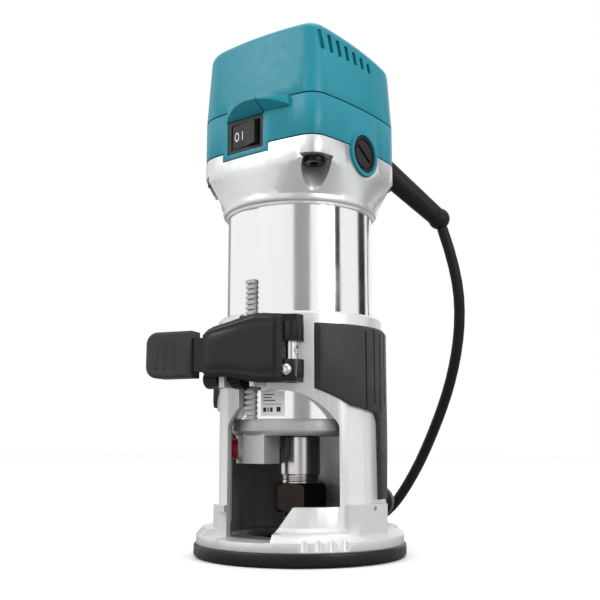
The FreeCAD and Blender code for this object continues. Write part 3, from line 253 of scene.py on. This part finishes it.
def moulded_plastic(name, colour, roughness, grain=0.25, shade=0.9):
    """A moulded plastic: spark-eroded texture, with a slight drift in shade and gloss."""
    shader = Shader(name, Base_Color=colour, Roughness=roughness, Specular_IOR_Level=0.35)
    drift = shader.ramp(shader.noise(28, 3), NOISE_LOW, NOISE_HIGH, 0, 1)
    shader.colour(shader.mix(drift, shaded(colour, shade), colour))
    worn = shader.noise(240, 3)
    shader.roughness(shader.ramp(worn, NOISE_LOW, NOISE_HIGH, roughness - 0.05, roughness + 0.06))
    shader.bump(shader.noise(1900, 3, 0.6), grain, 0.00012)
    return shader.material


def gloss_plastic(name, colour, roughness):
    """A glossy moulding with a faint ripple and dust."""
    shader = Shader(name, Base_Color=colour, Roughness=roughness, Specular_IOR_Level=0.32)
    shader.roughness(shader.ramp(shader.noise(320, 4), 0.35, 0.75, roughness, roughness + 0.12))
    ripple = shader.bump(shader.noise(110, 2), 0.12, 0.0006)
    shader.bump(shader.noise(1500, 2), 0.05, 0.0001, under=ripple)
    return shader.material


def casting(name, colour, metallic, roughness, grain):
    """A lacquered die casting: its shader, its cloudiness and its clouded colour."""
    shader = Shader(name, Base_Color=colour, Metallic=metallic, Roughness=roughness)
    clouds = shader.ramp(shader.noise(18, 4), NOISE_LOW, NOISE_HIGH, 0, 1)
    patches = shader.noise(40, 1)
    shader.roughness(shader.ramp(patches, NOISE_LOW, NOISE_HIGH, roughness - 0.05, roughness + 0.07))
    shader.bump(shader.noise(1200, 0), grain, 0.00003)
    return shader, clouds, shader.mix(clouds, shaded(colour, 0.9), colour)


def cast_aluminium(name, colour, roughness, grain=0.5):
    """A blasted and lacquered die casting: fine grain, soft cloudiness."""
    shader, _, lacquer = casting(name, colour, 0.75, roughness, grain)
    shader.colour(lacquer)
    return shader.material


# Painted shade for the bore: these darker and lighter tones stand in for the shade inside the base.
# The colour fades from them to the lacquer between the two reaches from the axis.
BORE_SHADE_DARK = (0.20, 0.20, 0.187)
BORE_SHADE_LIGHT = (0.27, 0.27, 0.253)
BORE_SHADE_OUT_TO = 32.9 * MM
LACQUER_FROM = 33.3 * MM


def base_casting_metal(name, colour, roughness, grain=0.5):
    """The lacquered base casting, with painted shade in its bore: the bore is coloured darker than the
    lacquer.
    """
    shader, clouds, lacquer = casting(name, colour, 0.45, roughness, grain)
    reach = shader.tree.nodes.new("ShaderNodeVectorMath")
    reach.operation = "LENGTH"
    shader.link(shader.stretched(1, 1, 0), reach.inputs[0])
    outside = shader.ramp(reach.outputs["Value"], BORE_SHADE_OUT_TO, LACQUER_FROM, 0, 1)
    # Painted shade: the colour inside the bore is darkened to stand in for the shade there.
    bore_shade = shader.mix(clouds, BORE_SHADE_DARK, BORE_SHADE_LIGHT)
    shader.colour(shader.mix(outside, bore_shade, lacquer))
    return shader.material


def turned_metal(name, colour, roughness, pitch=6000):
    """A turned surface: fine rings about the spindle axis."""
    shader = Shader(name, Base_Color=colour, Metallic=1.0, Roughness=roughness)
    rings = shader.noise(1.0, 3, 0.6, shader.stretched(30, 30, pitch))
    smears = shader.noise(60, 3)
    shader.roughness(shader.ramp(smears, NOISE_LOW, NOISE_HIGH, roughness - 0.03, roughness + 0.05))
    shader.bump(rings, 0.12, 0.00005)
    return shader.material


def rubber(name, colour, roughness, grain=0.4):
    """A soft moulded grip: matt, finely pebbled, paler where it is rubbed."""
    shader = Shader(name, Base_Color=colour, Roughness=roughness, Specular_IOR_Level=0.2)
    rubbed = shader.ramp(shader.noise(35, 4), 0.45, 0.75, 0, 1)
    paler = tuple(channel * 1.25 + 0.002 for channel in colour)
    shader.colour(shader.mix(rubbed, colour, paler))
    worn = shader.noise(300, 2)
    shader.roughness(shader.ramp(worn, NOISE_LOW, NOISE_HIGH, roughness - 0.06, roughness + 0.06))
    shader.bump(shader.cells(2200), grain, 0.00012)
    return shader.material


def oxidised_steel(name, colour, roughness, warmth=1.0):
    """Blackened steel, worn, with a bloom that is brown where there is warmth and grey where not."""
    shader = Shader(name, Base_Color=colour, Metallic=0.8, Roughness=roughness)
    bloom = shader.ramp(shader.noise(160, 5), 0.35, 0.7, 0, 1)
    red, green, blue = shaded(colour, 1.3)
    bloomed = (red + 0.4 * warmth * colour[0], green, blue - 0.1 * warmth * colour[2])
    shader.colour(shader.mix(bloom, colour, bloomed))
    worn = shader.noise(500, 3)
    shader.roughness(shader.ramp(worn, NOISE_LOW, NOISE_HIGH, roughness - 0.08, roughness + 0.1))
    shader.bump(shader.noise(1600, 3), 0.25, 0.00008)
    return shader.material


def wound_copper(name, colour):
    """Enamelled wire, wound along the axis."""
    shader = Shader(name, Base_Color=colour, Metallic=0.9, Roughness=0.32, Coat_Weight=0.4)
    wires = shader.noise(1.0, 2, 0.5, shader.stretched(2600, 2600, 120))
    shader.colour(shader.mix(wires, shaded(colour, 0.55), colour))
    shader.bump(wires, 0.6, 0.0002)
    return shader.material


def laminations(name, colour):
    """A stack of pressed sheets, seen on edge."""
    shader = Shader(name, Base_Color=colour, Metallic=0.9, Roughness=0.45)
    sheets = shader.noise(1.0, 1, 0.5, shader.stretched(8, 8, 2400))
    shader.colour(shader.mix(sheets, shaded(colour, 0.5), colour))
    shader.bump(sheets, 0.5, 0.0001)
    return shader.material


def smoked_plastic(name, colour):
    """A dark see-through shield."""
    shader = Shader(name, Base_Color=colour, Roughness=0.12, Transmission_Weight=0.7, IOR=1.49)
    shader.roughness(shader.ramp(shader.noise(90, 4), 0.4, 0.7, 0.1, 0.28))
    shader.bump(shader.noise(400, 2), 0.05, 0.0001)
    return shader.material


def circuit_board(name, lacquer, copper):
    """A lacquered board whose tracks show through as paler lines."""
    shader = Shader(name, Base_Color=lacquer, Roughness=0.35, Coat_Weight=0.5)
    tracks = shader.ramp(shader.cells(260), 0.08, 0.12, 1, 0)
    shader.colour(shader.mix(tracks, lacquer, copper))
    return shader.material


TEAL = (0.005, 0.235, 0.31)
BLACK = (0.008, 0.008, 0.009)
ALUMINIUM = (0.74, 0.745, 0.745)

FINISHES = {
    "teal": moulded_plastic("teal_plastic", TEAL, 0.38),
    "black": moulded_plastic("black_plastic", BLACK, 0.42),
    "gloss_black": gloss_plastic("gloss_black", (0.010, 0.010, 0.011), 0.2),
    "red": moulded_plastic("red_plastic", (0.50, 0.010, 0.014), 0.36),
    "cast": cast_aluminium("head_aluminium", ALUMINIUM, 0.32),
    "base": base_casting_metal("base_aluminium", ALUMINIUM, 0.32),
    "bracket": cast_aluminium("bracket_aluminium", (0.62, 0.62, 0.63), 0.34, 0.7),
    "tube": turned_metal("tube_aluminium", (0.86, 0.865, 0.87), 0.12),
    "spindle": turned_metal("bright_steel", (0.74, 0.72, 0.71), 0.18, 9000),
    "dark_steel": oxidised_steel("dark_steel", (0.028, 0.0235, 0.0225), 0.36),
    "black_steel": oxidised_steel("black_steel", (0.012, 0.012, 0.012), 0.34, 0),
    "rack_steel": oxidised_steel("rack_steel", (0.36, 0.36, 0.36), 0.3, 0),
    "grip": rubber("grip_rubber", (0.038, 0.037, 0.040), 0.5),
    "cord": rubber("cord_rubber", (0.010, 0.010, 0.010), 0.5, 0.15),
    "plate": moulded_plastic("plate_black", BLACK, 0.34, 0.15),
    "brass": turned_metal("brass", (0.75, 0.56, 0.27), 0.28),
    "copper": wound_copper("copper", (0.62, 0.27, 0.12)),
    "lamination": laminations("lamination", (0.4, 0.4, 0.41)),
    "carbon": moulded_plastic("carbon", (0.02, 0.02, 0.021), 0.6),
    "clear": smoked_plastic("clear_plastic", (0.22, 0.23, 0.22)),
    "board": circuit_board("board", (0.02, 0.12, 0.05), (0.05, 0.25, 0.1)),
    "label": moulded_plastic("white_mark", (0.78, 0.78, 0.77), 0.5, 0.1),
}

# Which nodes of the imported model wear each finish.
NODE_FINISH = {
    "teal": ["switch_housing", "top_cover"],
    "cast": ["head_casting"],
    "base": ["base_casting"],
    "bracket": ["end_bracket"],
    "tube": ["motor_tube"],
    "spindle": ["armature_shaft", "collet_cone", "shaft_lock_pin", "lower_bearing", "upper_bearing",
                "plate_screws", "lever_pin", "clamp_bolt", "clamp_nut"],
    "dark_steel": ["collet_nut", "shaft_lock_spring"],
    "black_steel": ["head_screws", "depth_pinion"],
    "rack_steel": ["depth_rack"],
    "red": ["shaft_lock_button"],
    "black": ["cooling_fan", "stator_sleeve", "brush_caps", "switch_body", "speed_dial", "pinion_knob",
              "guide_screw"],
    "gloss_black": ["clamp_lever", "rocker"],
    "grip": ["right_grip", "left_grip", "lever_pad"],
    "cord": ["cord_guard", "cord", "cord_coil", "plug"],
    "plate": ["base_plate"],
    "brass": ["brush_holders"],
    "copper": ["armature_windings", "commutator", "field_coils"],
    "lamination": ["armature_core", "stator_core"],
    "carbon": ["carbon_brushes"],
    "clear": ["chip_deflector"],
    "board": ["controller_board"],
}


def finish_nodes():
    for finish, names in NODE_FINISH.items():
        for name in names:
            mesh = nodes[name].data
            mesh.materials.clear()
            mesh.materials.append(FINISHES[finish])


finish_nodes()


# Soft edges on the rigid parts that show ----------------------------------------------------------

# The width of each node's rounded edges, in millimetres.
SOFT_EDGES = {"clamp_lever": 0.7, "lever_pad": 0.8, "base_casting": 0.35, "head_casting": 0.35,
              "top_cover": 0.3, "switch_housing": 0.3, "right_grip": 0.3, "left_grip": 0.3,
              "guide_screw": 0.5, "base_plate": 0.3, "rocker": 0.3, "brush_caps": 0.25,
              "end_bracket": 0.4, "collet_nut": 0.3, "switch_body": 0.3, "shaft_lock_button": 0.4,
              "head_screws": 0.3, "cord_guard": 0.3}
WELD_DISTANCE = 0.05
SHARP_ANGLE = math.radians(38)


def soften_edges():
    for name, width in SOFT_EDGES.items():
        item = nodes[name]
        weld = item.modifiers.new("weld", "WELD")
        weld.merge_threshold = WELD_DISTANCE * MM
        bevel = item.modifiers.new("bevel", "BEVEL")
        bevel.width = width * MM
        bevel.segments = 2
        bevel.limit_method = "ANGLE"
        bevel.angle_limit = SHARP_ANGLE
        bevel.harden_normals = True


soften_edges()


# Mesh helpers -------------------------------------------------------------------------------------

def new_piece(name, verts, faces, finish, body="motor_unit", crease=35):
    """A mesh piece that rides on a body, smooth where its faces nearly agree."""
    mesh = bpy.data.meshes.new(name)
    mesh.from_pydata(verts, [], faces)
    mesh.materials.append(FINISHES[finish])
    mesh.validate()
    mesh.shade_smooth()
    mesh.set_sharp_from_angle(angle=math.radians(crease))
    item = bpy.data.objects.new(name, mesh)
    scene.collection.objects.link(item)
    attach(item, body)
    return item


def about_axis(reach, angle, height):
    """A place about the spindle axis, given in millimetres; the angle runs from -Y towards +X."""
    return Vector((reach * math.sin(angle), -reach * math.cos(angle), height)) * MM


def tube_faces(rings, around):
    """Quads between successive rings of points, and one face over each end."""
    faces = []
    for ring in range(rings - 1):
        here, there = ring * around, (ring + 1) * around
        for i in range(around):
            j = (i + 1) % around
            faces.append((here + i, here + j, there + j, there + i))
    faces.append(tuple(reversed(range(around))))
    faces.append(tuple(range((rings - 1) * around, rings * around)))
    return faces


def rounded_section(half_a, half_b, power, around):
    """Points round a superellipse: power 2 is an ellipse, higher is squarer."""
    points = []
    for i in range(around):
        angle = math.tau * i / around
        across, up = math.cos(angle), math.sin(angle)
        points.append((half_a * math.copysign(abs(across) ** (2 / power), across),
                       half_b * math.copysign(abs(up) ** (2 / power), up)))
    return points


def loft_points(start, direction, sections, around):
    """Points of a skin through sections (distance along, half width, half height, power) on a line."""
    turn = Vector(direction).to_track_quat("X", "Z").to_matrix()
    points = []
    for along, half_a, half_b, power in sections:
        for a, b in rounded_section(half_a, half_b, power, around):
            points.append(Vector(start) * MM + turn @ (Vector((along, a, b)) * MM))
    return points


def lofted(name, start, direction, sections, finish, around=40):
    """A skin through sections on a line, as a piece."""
    verts = loft_points(start, direction, sections, around)
    return new_piece(name, verts, tube_faces(len(sections), around), finish)


def several(name, starts, direction, sections, around, finish, body):
    """The same loft from several places, as one piece."""
    verts, faces = [], []
    for start in starts:
        first = len(verts)
        verts += loft_points(start, direction, sections, around)
        faces += [tuple(first + corner for corner in face)
                  for face in tube_faces(len(sections), around)]
    new_piece(name, verts, faces, finish, body)


def ribbed(first, last, count, half, groove):
    """Round sections of rings with grooves between them, tapering from one size to another."""
    sections = []
    pitch = (last - first) / count
    for i in range(count):
        at = first + i * pitch
        size = half[0] + (half[1] - half[0]) * i / (count - 1)
        deep = size - groove
        sections += [(at, deep, deep, 2), (at + 0.3 * pitch, deep, deep, 2),
                     (at + 0.36 * pitch, size, size, 2), (at + 0.94 * pitch, size, size, 2)]
    return sections


# Cord pieces --------------------------------------------------------------------------------------

# The plug's sections start at the face its prongs stand on, and run to where the cord leaves it.
PLUG_FACE = Vector((-85.7, 84, 22.7))
PLUG_SECTIONS = [(0, 11.2, 5.0, 5), (0.5, 12.2, 5.9, 5), (1.6, 13, 6.5, 5), (9, 13, 6.5, 5),
                 (9.6, 12.5, 6.1, 5), (12, 12.3, 6.0, 5), (12.6, 12.6, 6.2, 5), (15, 12.2, 6.2, 5),
                 (15.6, 11.6, 5.8, 5), (18, 11.4, 5.8, 5), (18.6, 11.7, 6.1, 5),
                 (21, 11.2, 6.1, 4.5), (21.6, 10.5, 5.7, 4.5), (24, 10.2, 5.7, 4.5),
                 (24.6, 10.4, 6.0, 4), (29, 8.8, 5.8, 3.5), (33, 6.6, 5.3, 2.6), (35, 5.2, 5.0, 2)]
PLUG_SLEEVE = ribbed(35.4, 43.4, 4, (4.6, 3.9), 0.7) + [(44.6, 3.5, 3.5, 2), (44.9, 2.9, 2.9, 2)]
PRONG_OFFSET = 9.5
PRONG_SECTIONS = [(-18.9, 0.8, 0.8, 2), (-18.6, 1.5, 1.5, 2), (-17.6, 2.0, 2.0, 2),
                  (-9.5, 2.0, 2.0, 2), (-9.3, 1.8, 1.8, 2), (-0.5, 1.8, 1.8, 2),
                  (0.6, 1.9, 1.9, 2)]
TIE_PLACE = (-99.2, 87.3, 8.8)
TIE_SECTIONS = [(-2.6, 11.0, 8.3, 5), (-2.3, 11.4, 8.7, 5), (2.3, 11.4, 8.7, 5),
                (2.6, 11.0, 8.3, 5)]


def make_cord_pieces():
    """The moulded plug with its two prongs, the tie round the coil, and the cord itself."""
    plug = lofted("plug_body", PLUG_FACE, (1, 0, 0), PLUG_SECTIONS + PLUG_SLEEVE, "cord")
    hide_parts("plug")
    for side, offset in (("left", -PRONG_OFFSET), ("right", PRONG_OFFSET)):
        lofted("plug_prong_" + side, PLUG_FACE + Vector((0, offset, 0)), (1, 0, 0),
                             PRONG_SECTIONS, "brass", 20)
    tie = lofted("cord_tie", TIE_PLACE, (0, 1, 0), TIE_SECTIONS, "cord")
    cord_line.data.materials.append(FINISHES["cord"])
    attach(cord_line, "motor_unit")
    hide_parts("cord", "cord_coil")


make_cord_pieces()


# Lever skin, its screw, and the pad's ridges ------------------------------------------------------

# The lever's own frame faces -Y; its outline is two broken lines, in millimetres.
LEVER_AZIMUTH = math.radians(16)
LEVER_FACE = 46.2
LEVER_TOP = [(-24.6, 89.9), (-22.5, 92.0), (-19.5, 93.6), (-12.5, 95.2), (-6, 97.0), (-1, 98.2),
             (5, 97.9), (11, 97.4)]
LEVER_BOTTOM = [(-24.6, 75.8), (-21.5, 73.7), (-12.5, 73.6), (-6, 72.1), (0, 70.9), (11, 70.8)]
SKIN_START = -24.4
SKIN_LENGTH = 35.6
SKIN_OVERHANG = 0.25
SKIN_COLUMNS = 64
SKIN_ROWS = 44
TUCKED_ROWS = 2
TUCK = 1.4
PAD_RIDGES = (-44.6, -40.4, -36.2)
PAD_RIDGE_FRONT = -48.45
PAD_RIDGE_FOOT = 77
PAD_RIDGE_SECTIONS = [(0, 0.3, 0.3, 2), (0.4, 0.7, 0.7, 2), (11.6, 0.7, 0.7, 2), (12, 0.3, 0.3, 2)]
LEVER_SCREW = (12.0, -44.2, 75.6)
SCREW_HEAD_SECTIONS = [(0, 2.5, 2.5, 2), (0.9, 2.5, 2.5, 2), (1.6, 2.1, 2.1, 2),
                       (2.0, 1.3, 1.3, 2), (1.5, 1.2, 1.2, 2), (1.2, 0.9, 0.9, 2)]


def on_line(points, x):
    """The height of a broken line at a place along it."""
    for (x0, z0), (x1, z1) in zip(points, points[1:]):
        if x <= x1:
            share = max(0, (x - x0) / (x1 - x0))
            return z0 + (z1 - z0) * share
    return points[-1][1]


def lever_place(x, y, z):
    """From the lever's own frame, in millimetres, to the shared frame."""
    return Matrix.Rotation(LEVER_AZIMUTH, 3, "Z") @ (Vector((x, y, z)) * MM)


def bell(value, middle, width):
    """1 at the middle, and fading away on both sides of it."""
    return math.exp(-((value - middle) / width) ** 2)


def ease(value, middle, steepness):
    """From 0 to 1 through a half at the middle, or from 1 to 0 if the steepness is negative."""
    return 1 / (1 + math.exp(-(value - middle) * steepness))


def lever_swell(x, across):
    """How far the skin stands off the plate: crowned, with a dished middle and a rolled rim."""
    crown = 1.9 * (1 - abs(2 * across - 1) ** 3)
    dish = 0.55 * bell(x, -2, 7.5) * bell(across, 0.52, 0.24)
    rim = 0.5 * bell(across, 0.93, 0.035) + 0.4 * bell(across, 0.07, 0.035)
    step = 0.9 * ease(x, 8.3, -3)
    neck = ease(x, -22.5, 0.9)
    return (crown + rim - dish) * neck * (0.45 + 0.6 * step)


def make_lever_skin():
    """The lever's glossy face, tucked in behind its own edge all round."""
    verts, faces = [], []
    for i in range(SKIN_COLUMNS):
        x = SKIN_START + SKIN_LENGTH * i / (SKIN_COLUMNS - 1)
        low = on_line(LEVER_BOTTOM, x) - SKIN_OVERHANG
        high = on_line(LEVER_TOP, x) + SKIN_OVERHANG
        end = i in (0, SKIN_COLUMNS - 1)
        for j in range(SKIN_ROWS):
            across = (j - TUCKED_ROWS) / (SKIN_ROWS - 1 - 2 * TUCKED_ROWS)
            held = min(max(across, 0), 1)
            tuck = TUCK if across < 0 or across > 1 or end else 0
            depth = LEVER_FACE - tuck + lever_swell(x, held)
            verts.append(lever_place(x, -depth, low + (high - low) * held))
    for i in range(SKIN_COLUMNS - 1):
        for j in range(SKIN_ROWS - 1):
            a = i * SKIN_ROWS + j
            faces.append((a, a + SKIN_ROWS, a + SKIN_ROWS + 1, a + 1))
    new_piece("lever_skin", verts, faces, "gloss_black", "lever", 50)


def make_lever_fittings():
    outward = lever_place(0, -1, 0).normalized()
    ridges = [lever_place(x, PAD_RIDGE_FRONT, PAD_RIDGE_FOOT) / MM for x in PAD_RIDGES]
    several("pad_ridges", ridges, (0, 0, 1), PAD_RIDGE_SECTIONS, 12, "grip", "lever")
    screws = [lever_place(*LEVER_SCREW) / MM]
    several("lever_screws", screws, outward, SCREW_HEAD_SECTIONS, 24, "spindle",
            "lever")


make_lever_skin()
make_lever_fittings()


# Spindle thread -----------------------------------------------------------------------------------

THREAD_LOW = 31.0
THREAD_HIGH = 33.4
THREAD_PITCH = 0.8
THREAD_ROOT_R = 8.2
THREAD_CREST_R = 8.8
THREAD_HALF_WIDTH = 0.36
THREAD_STEPS = 36


def make_spindle_thread():
    """The run of thread left in sight between the collet nut and the spindle's shoulder."""
    ridge = ((THREAD_ROOT_R, THREAD_HALF_WIDTH), (THREAD_CREST_R, 0),
             (THREAD_ROOT_R, -THREAD_HALF_WIDTH))
    verts = []
    steps = round(THREAD_STEPS * (THREAD_HIGH - THREAD_LOW) / THREAD_PITCH)
    for i in range(steps):
        angle = math.tau * i / THREAD_STEPS
        height = THREAD_LOW + THREAD_PITCH * i / THREAD_STEPS
        for reach, rise in ridge:
            verts.append(about_axis(reach, angle, height + rise))
    new_piece("spindle_thread", verts, tube_faces(steps, len(ridge)), "spindle",
              "spindle")


make_spindle_thread()


# Printed marks ------------------------------------------------------------------------------------

# Patches on the tube are (azimuth, azimuth, height, height), in degrees and millimetres.
TUBE_R = 32.5
PATCH_DEPTH = 0.2
PATCH_STEPS = 10
LABELS = [(-34, -9, 57.5, 65), (8.5, 27, 58, 68)]
PRINTED_LINES = [(10.5, 19, 66.4, 66.8), (10.5, 17, 65.2, 65.6), (10.5, 20, 64.0, 64.4),
                 (10.5, 25, 62.6, 62.8), (10.5, 13, 59.6, 61.4), (14, 15, 59.6, 61.4),
                 (16, 18, 59.6, 61.4), (21, 24, 59.6, 61.6), (-31, -27, 58.8, 61.6),
                 (-25, -22, 58.8, 61.6), (-20, -11, 63.2, 63.5), (-20, -14, 62.0, 62.3)]
ROCKER_PIVOT = Vector((-2.3, -32.9, 179))
ROCKER_TURN = math.radians(-9)
ROCKER_HALF_WIDTH = 7.3
ROCKER_FACE = -2.76
ROCKER_FALL = 0.7
RING_CENTRE = -4.6
RING_HALF_WIDTH = 1.35
RING_HALF_HEIGHT = 2.1
RING_INNER = 0.68
RING_STEPS = 32
BAR_FROM = -1.5
BAR_TO = -1.0
BAR_HALF_HEIGHT = 1.9


def tube_patches(name, patches, stand, finish):
    """Thin printed patches on the motor tube, standing a little off it."""
    verts, faces = [], []
    for azimuth_low, azimuth_high, low, high in patches:
        first = len(verts)
        for i in range(PATCH_STEPS + 1):
            azimuth = azimuth_low + (azimuth_high - azimuth_low) * i / PATCH_STEPS
            for reach in (TUBE_R - PATCH_DEPTH, TUBE_R + stand):
                for height in (low, high):
                    verts.append(about_axis(reach, math.radians(azimuth), height))
        for i in range(PATCH_STEPS):
            a, b = first + 4 * i, first + 4 * i + 4
            faces += [(a + 2, b + 2, b + 3, a + 3), (a, a + 1, b + 1, b),
                      (a + 1, a + 3, b + 3, b + 1), (a, b, b + 2, a + 2)]
        last = first + 4 * PATCH_STEPS
        faces += [(first, first + 2, first + 3, first + 1), (last, last + 1, last + 3, last + 2)]
    new_piece(name, verts, faces, finish)


def rocker_place(x, z):
    """A place on the rocker's left half, given in millimetres, in the shared frame."""
    face = ROCKER_FACE + ROCKER_FALL * x / ROCKER_HALF_WIDTH
    turned = Matrix.Rotation(ROCKER_TURN, 3, "Z") @ Vector((x, face, z))
    return (turned + ROCKER_PIVOT) * MM


def make_switch_marks():
    """A ring and a bar on the rocker."""
    verts, faces = [], []
    for i in range(RING_STEPS):
        angle = math.tau * i / RING_STEPS
        for size in (1.0, RING_INNER):
            verts.append(rocker_place(RING_CENTRE + RING_HALF_WIDTH * size * math.cos(angle),
                                      RING_HALF_HEIGHT * size * math.sin(angle)))
    for i in range(RING_STEPS):
        j = (i + 1) % RING_STEPS
        faces.append((2 * i, 2 * i + 1, 2 * j + 1, 2 * j))
    first = len(verts)
    bar = ((BAR_FROM, -BAR_HALF_HEIGHT), (BAR_TO, -BAR_HALF_HEIGHT), (BAR_TO, BAR_HALF_HEIGHT),
           (BAR_FROM, BAR_HALF_HEIGHT))
    verts += [rocker_place(x, z) for x, z in bar]
    faces.append((first, first + 1, first + 2, first + 3))
    new_piece("switch_marks", verts, faces, "label", "switch_rocker")


tube_patches("tube_labels", LABELS, 0.02, "label")
tube_patches("tube_label_lines", PRINTED_LINES, 0.035, "black")
make_switch_marks()


# Studio -------------------------------------------------------------------------------------------

LIGHT_TARGET = (0, 0, 0.11)
LIGHT_POWER = 3.0
FLOOR_HALF = 3.0
FLOOR_DROP = 0.0002
FLOOR_WHITE = (0.97, 0.97, 0.97)
FLOOR_CARD_HALF = 0.7
FLOOR_CARD_DROP = 0.0001
BLACK_CARD = 0.01
GREY_CARD = 0.30


def area_light(name, place, size):
    """A square light that points at the middle of the tool."""
    data = bpy.data.lights.new(name, "AREA")
    data.shape = "SQUARE"
    data.size = size
    data.energy = LIGHT_POWER
    light = bpy.data.objects.new(name, data)
    light.location = place
    aim = Vector(LIGHT_TARGET) - Vector(place)
    light.rotation_euler = aim.to_track_quat("-Z", "Y").to_euler()
    scene.collection.objects.link(light)


def sheet(name, corners):
    """One flat face, in the order of its corners."""
    mesh = bpy.data.meshes.new(name)
    mesh.from_pydata(corners, [], [(0, 1, 2, 3)])
    item = bpy.data.objects.new(name, mesh)
    scene.collection.objects.link(item)
    return item


def level_sheet(name, half, drop):
    """A square sheet, a little below the plane that the tool stands on."""
    item = sheet(name, [(-half, -half, 0), (half, -half, 0), (half, half, 0), (-half, half, 0)])
    item.location.z = -drop
    return item


def felt(name, shade):
    """Dull cloth, for the cards."""
    shader = Shader(name, Base_Color=(shade, shade, shade), Roughness=0.9)
    shader.bump(shader.noise(500, 2), 0.2, 0.0005)
    return shader


def dark_card(name, azimuth, distance, width, low, high, shade=BLACK_CARD):
    """A card beside the set that the camera doesn't see: polished metal shows it as a band."""
    angle = math.radians(azimuth)
    half = width / 2
    card = sheet(name, [(-half, 0, low), (half, 0, low), (half, 0, high), (-half, 0, high)])
    card.location = (distance * math.sin(angle), -distance * math.cos(angle), 0)
    card.rotation_euler.z = angle
    card.visible_camera = False
    card.visible_shadow = False
    card.visible_diffuse = False
    card.data.materials.append(felt(name, shade).material)


def floor_card(shade):
    """A grey sheet on the floor that the camera doesn't see: undersides face it and go darker.
    Its back lets light through, so the floor below stays white."""
    card = level_sheet("card_floor", FLOOR_CARD_HALF, FLOOR_CARD_DROP)
    card.visible_camera = False
    card.visible_shadow = False
    grey = felt("card_floor", shade)
    side = grey.tree.nodes.new("ShaderNodeNewGeometry")
    clear = grey.tree.nodes.new("ShaderNodeBsdfTransparent")
    either = grey.tree.nodes.new("ShaderNodeMixShader")
    grey.link(side.outputs["Backfacing"], either.inputs[0])
    grey.link(grey.principled.outputs["BSDF"], either.inputs[1])
    grey.link(clear.outputs["BSDF"], either.inputs[2])
    grey.link(either.outputs["Shader"], grey.tree.nodes["Material Output"].inputs["Surface"])
    card.data.materials.append(grey.material)


def white_floor():
    floor = level_sheet("floor", FLOOR_HALF, FLOOR_DROP)
    paper = Shader("floor_paper", Base_Color=FLOOR_WHITE, Roughness=0.7)
    paper.bump(paper.noise(900, 2), 0.05, 0.0002)
    floor.data.materials.append(paper.material)


def white_world():
    world = bpy.data.worlds.new("studio")
    world.use_nodes = True
    background = world.node_tree.nodes["Background"]
    background.inputs["Color"].default_value = (1, 1, 1, 1)
    background.inputs["Strength"].default_value = 1.0
    scene.world = world
    scene.view_settings.view_transform = "Standard"


def make_studio():
    white_world()
    white_floor()
    area_light("key", (-0.45, -0.75, 0.75), 0.5)
    area_light("side", (0.95, -0.15, 0.45), 0.35)
    area_light("top", (0.0, 0.1, 1.1), 0.8)
    dark_card("card_right", 97, 0.62, 0.10, 0.02, 0.75)
    dark_card("card_back", 150, 0.62, 0.22, 0.02, 0.75)
    dark_card("card_front", 41, 0.95, 0.42, 0.0, 0.9, GREY_CARD)
    dark_card("card_left", -116, 0.62, 0.24, 0.02, 0.75, GREY_CARD)
    floor_card(GREY_CARD)


make_studio()
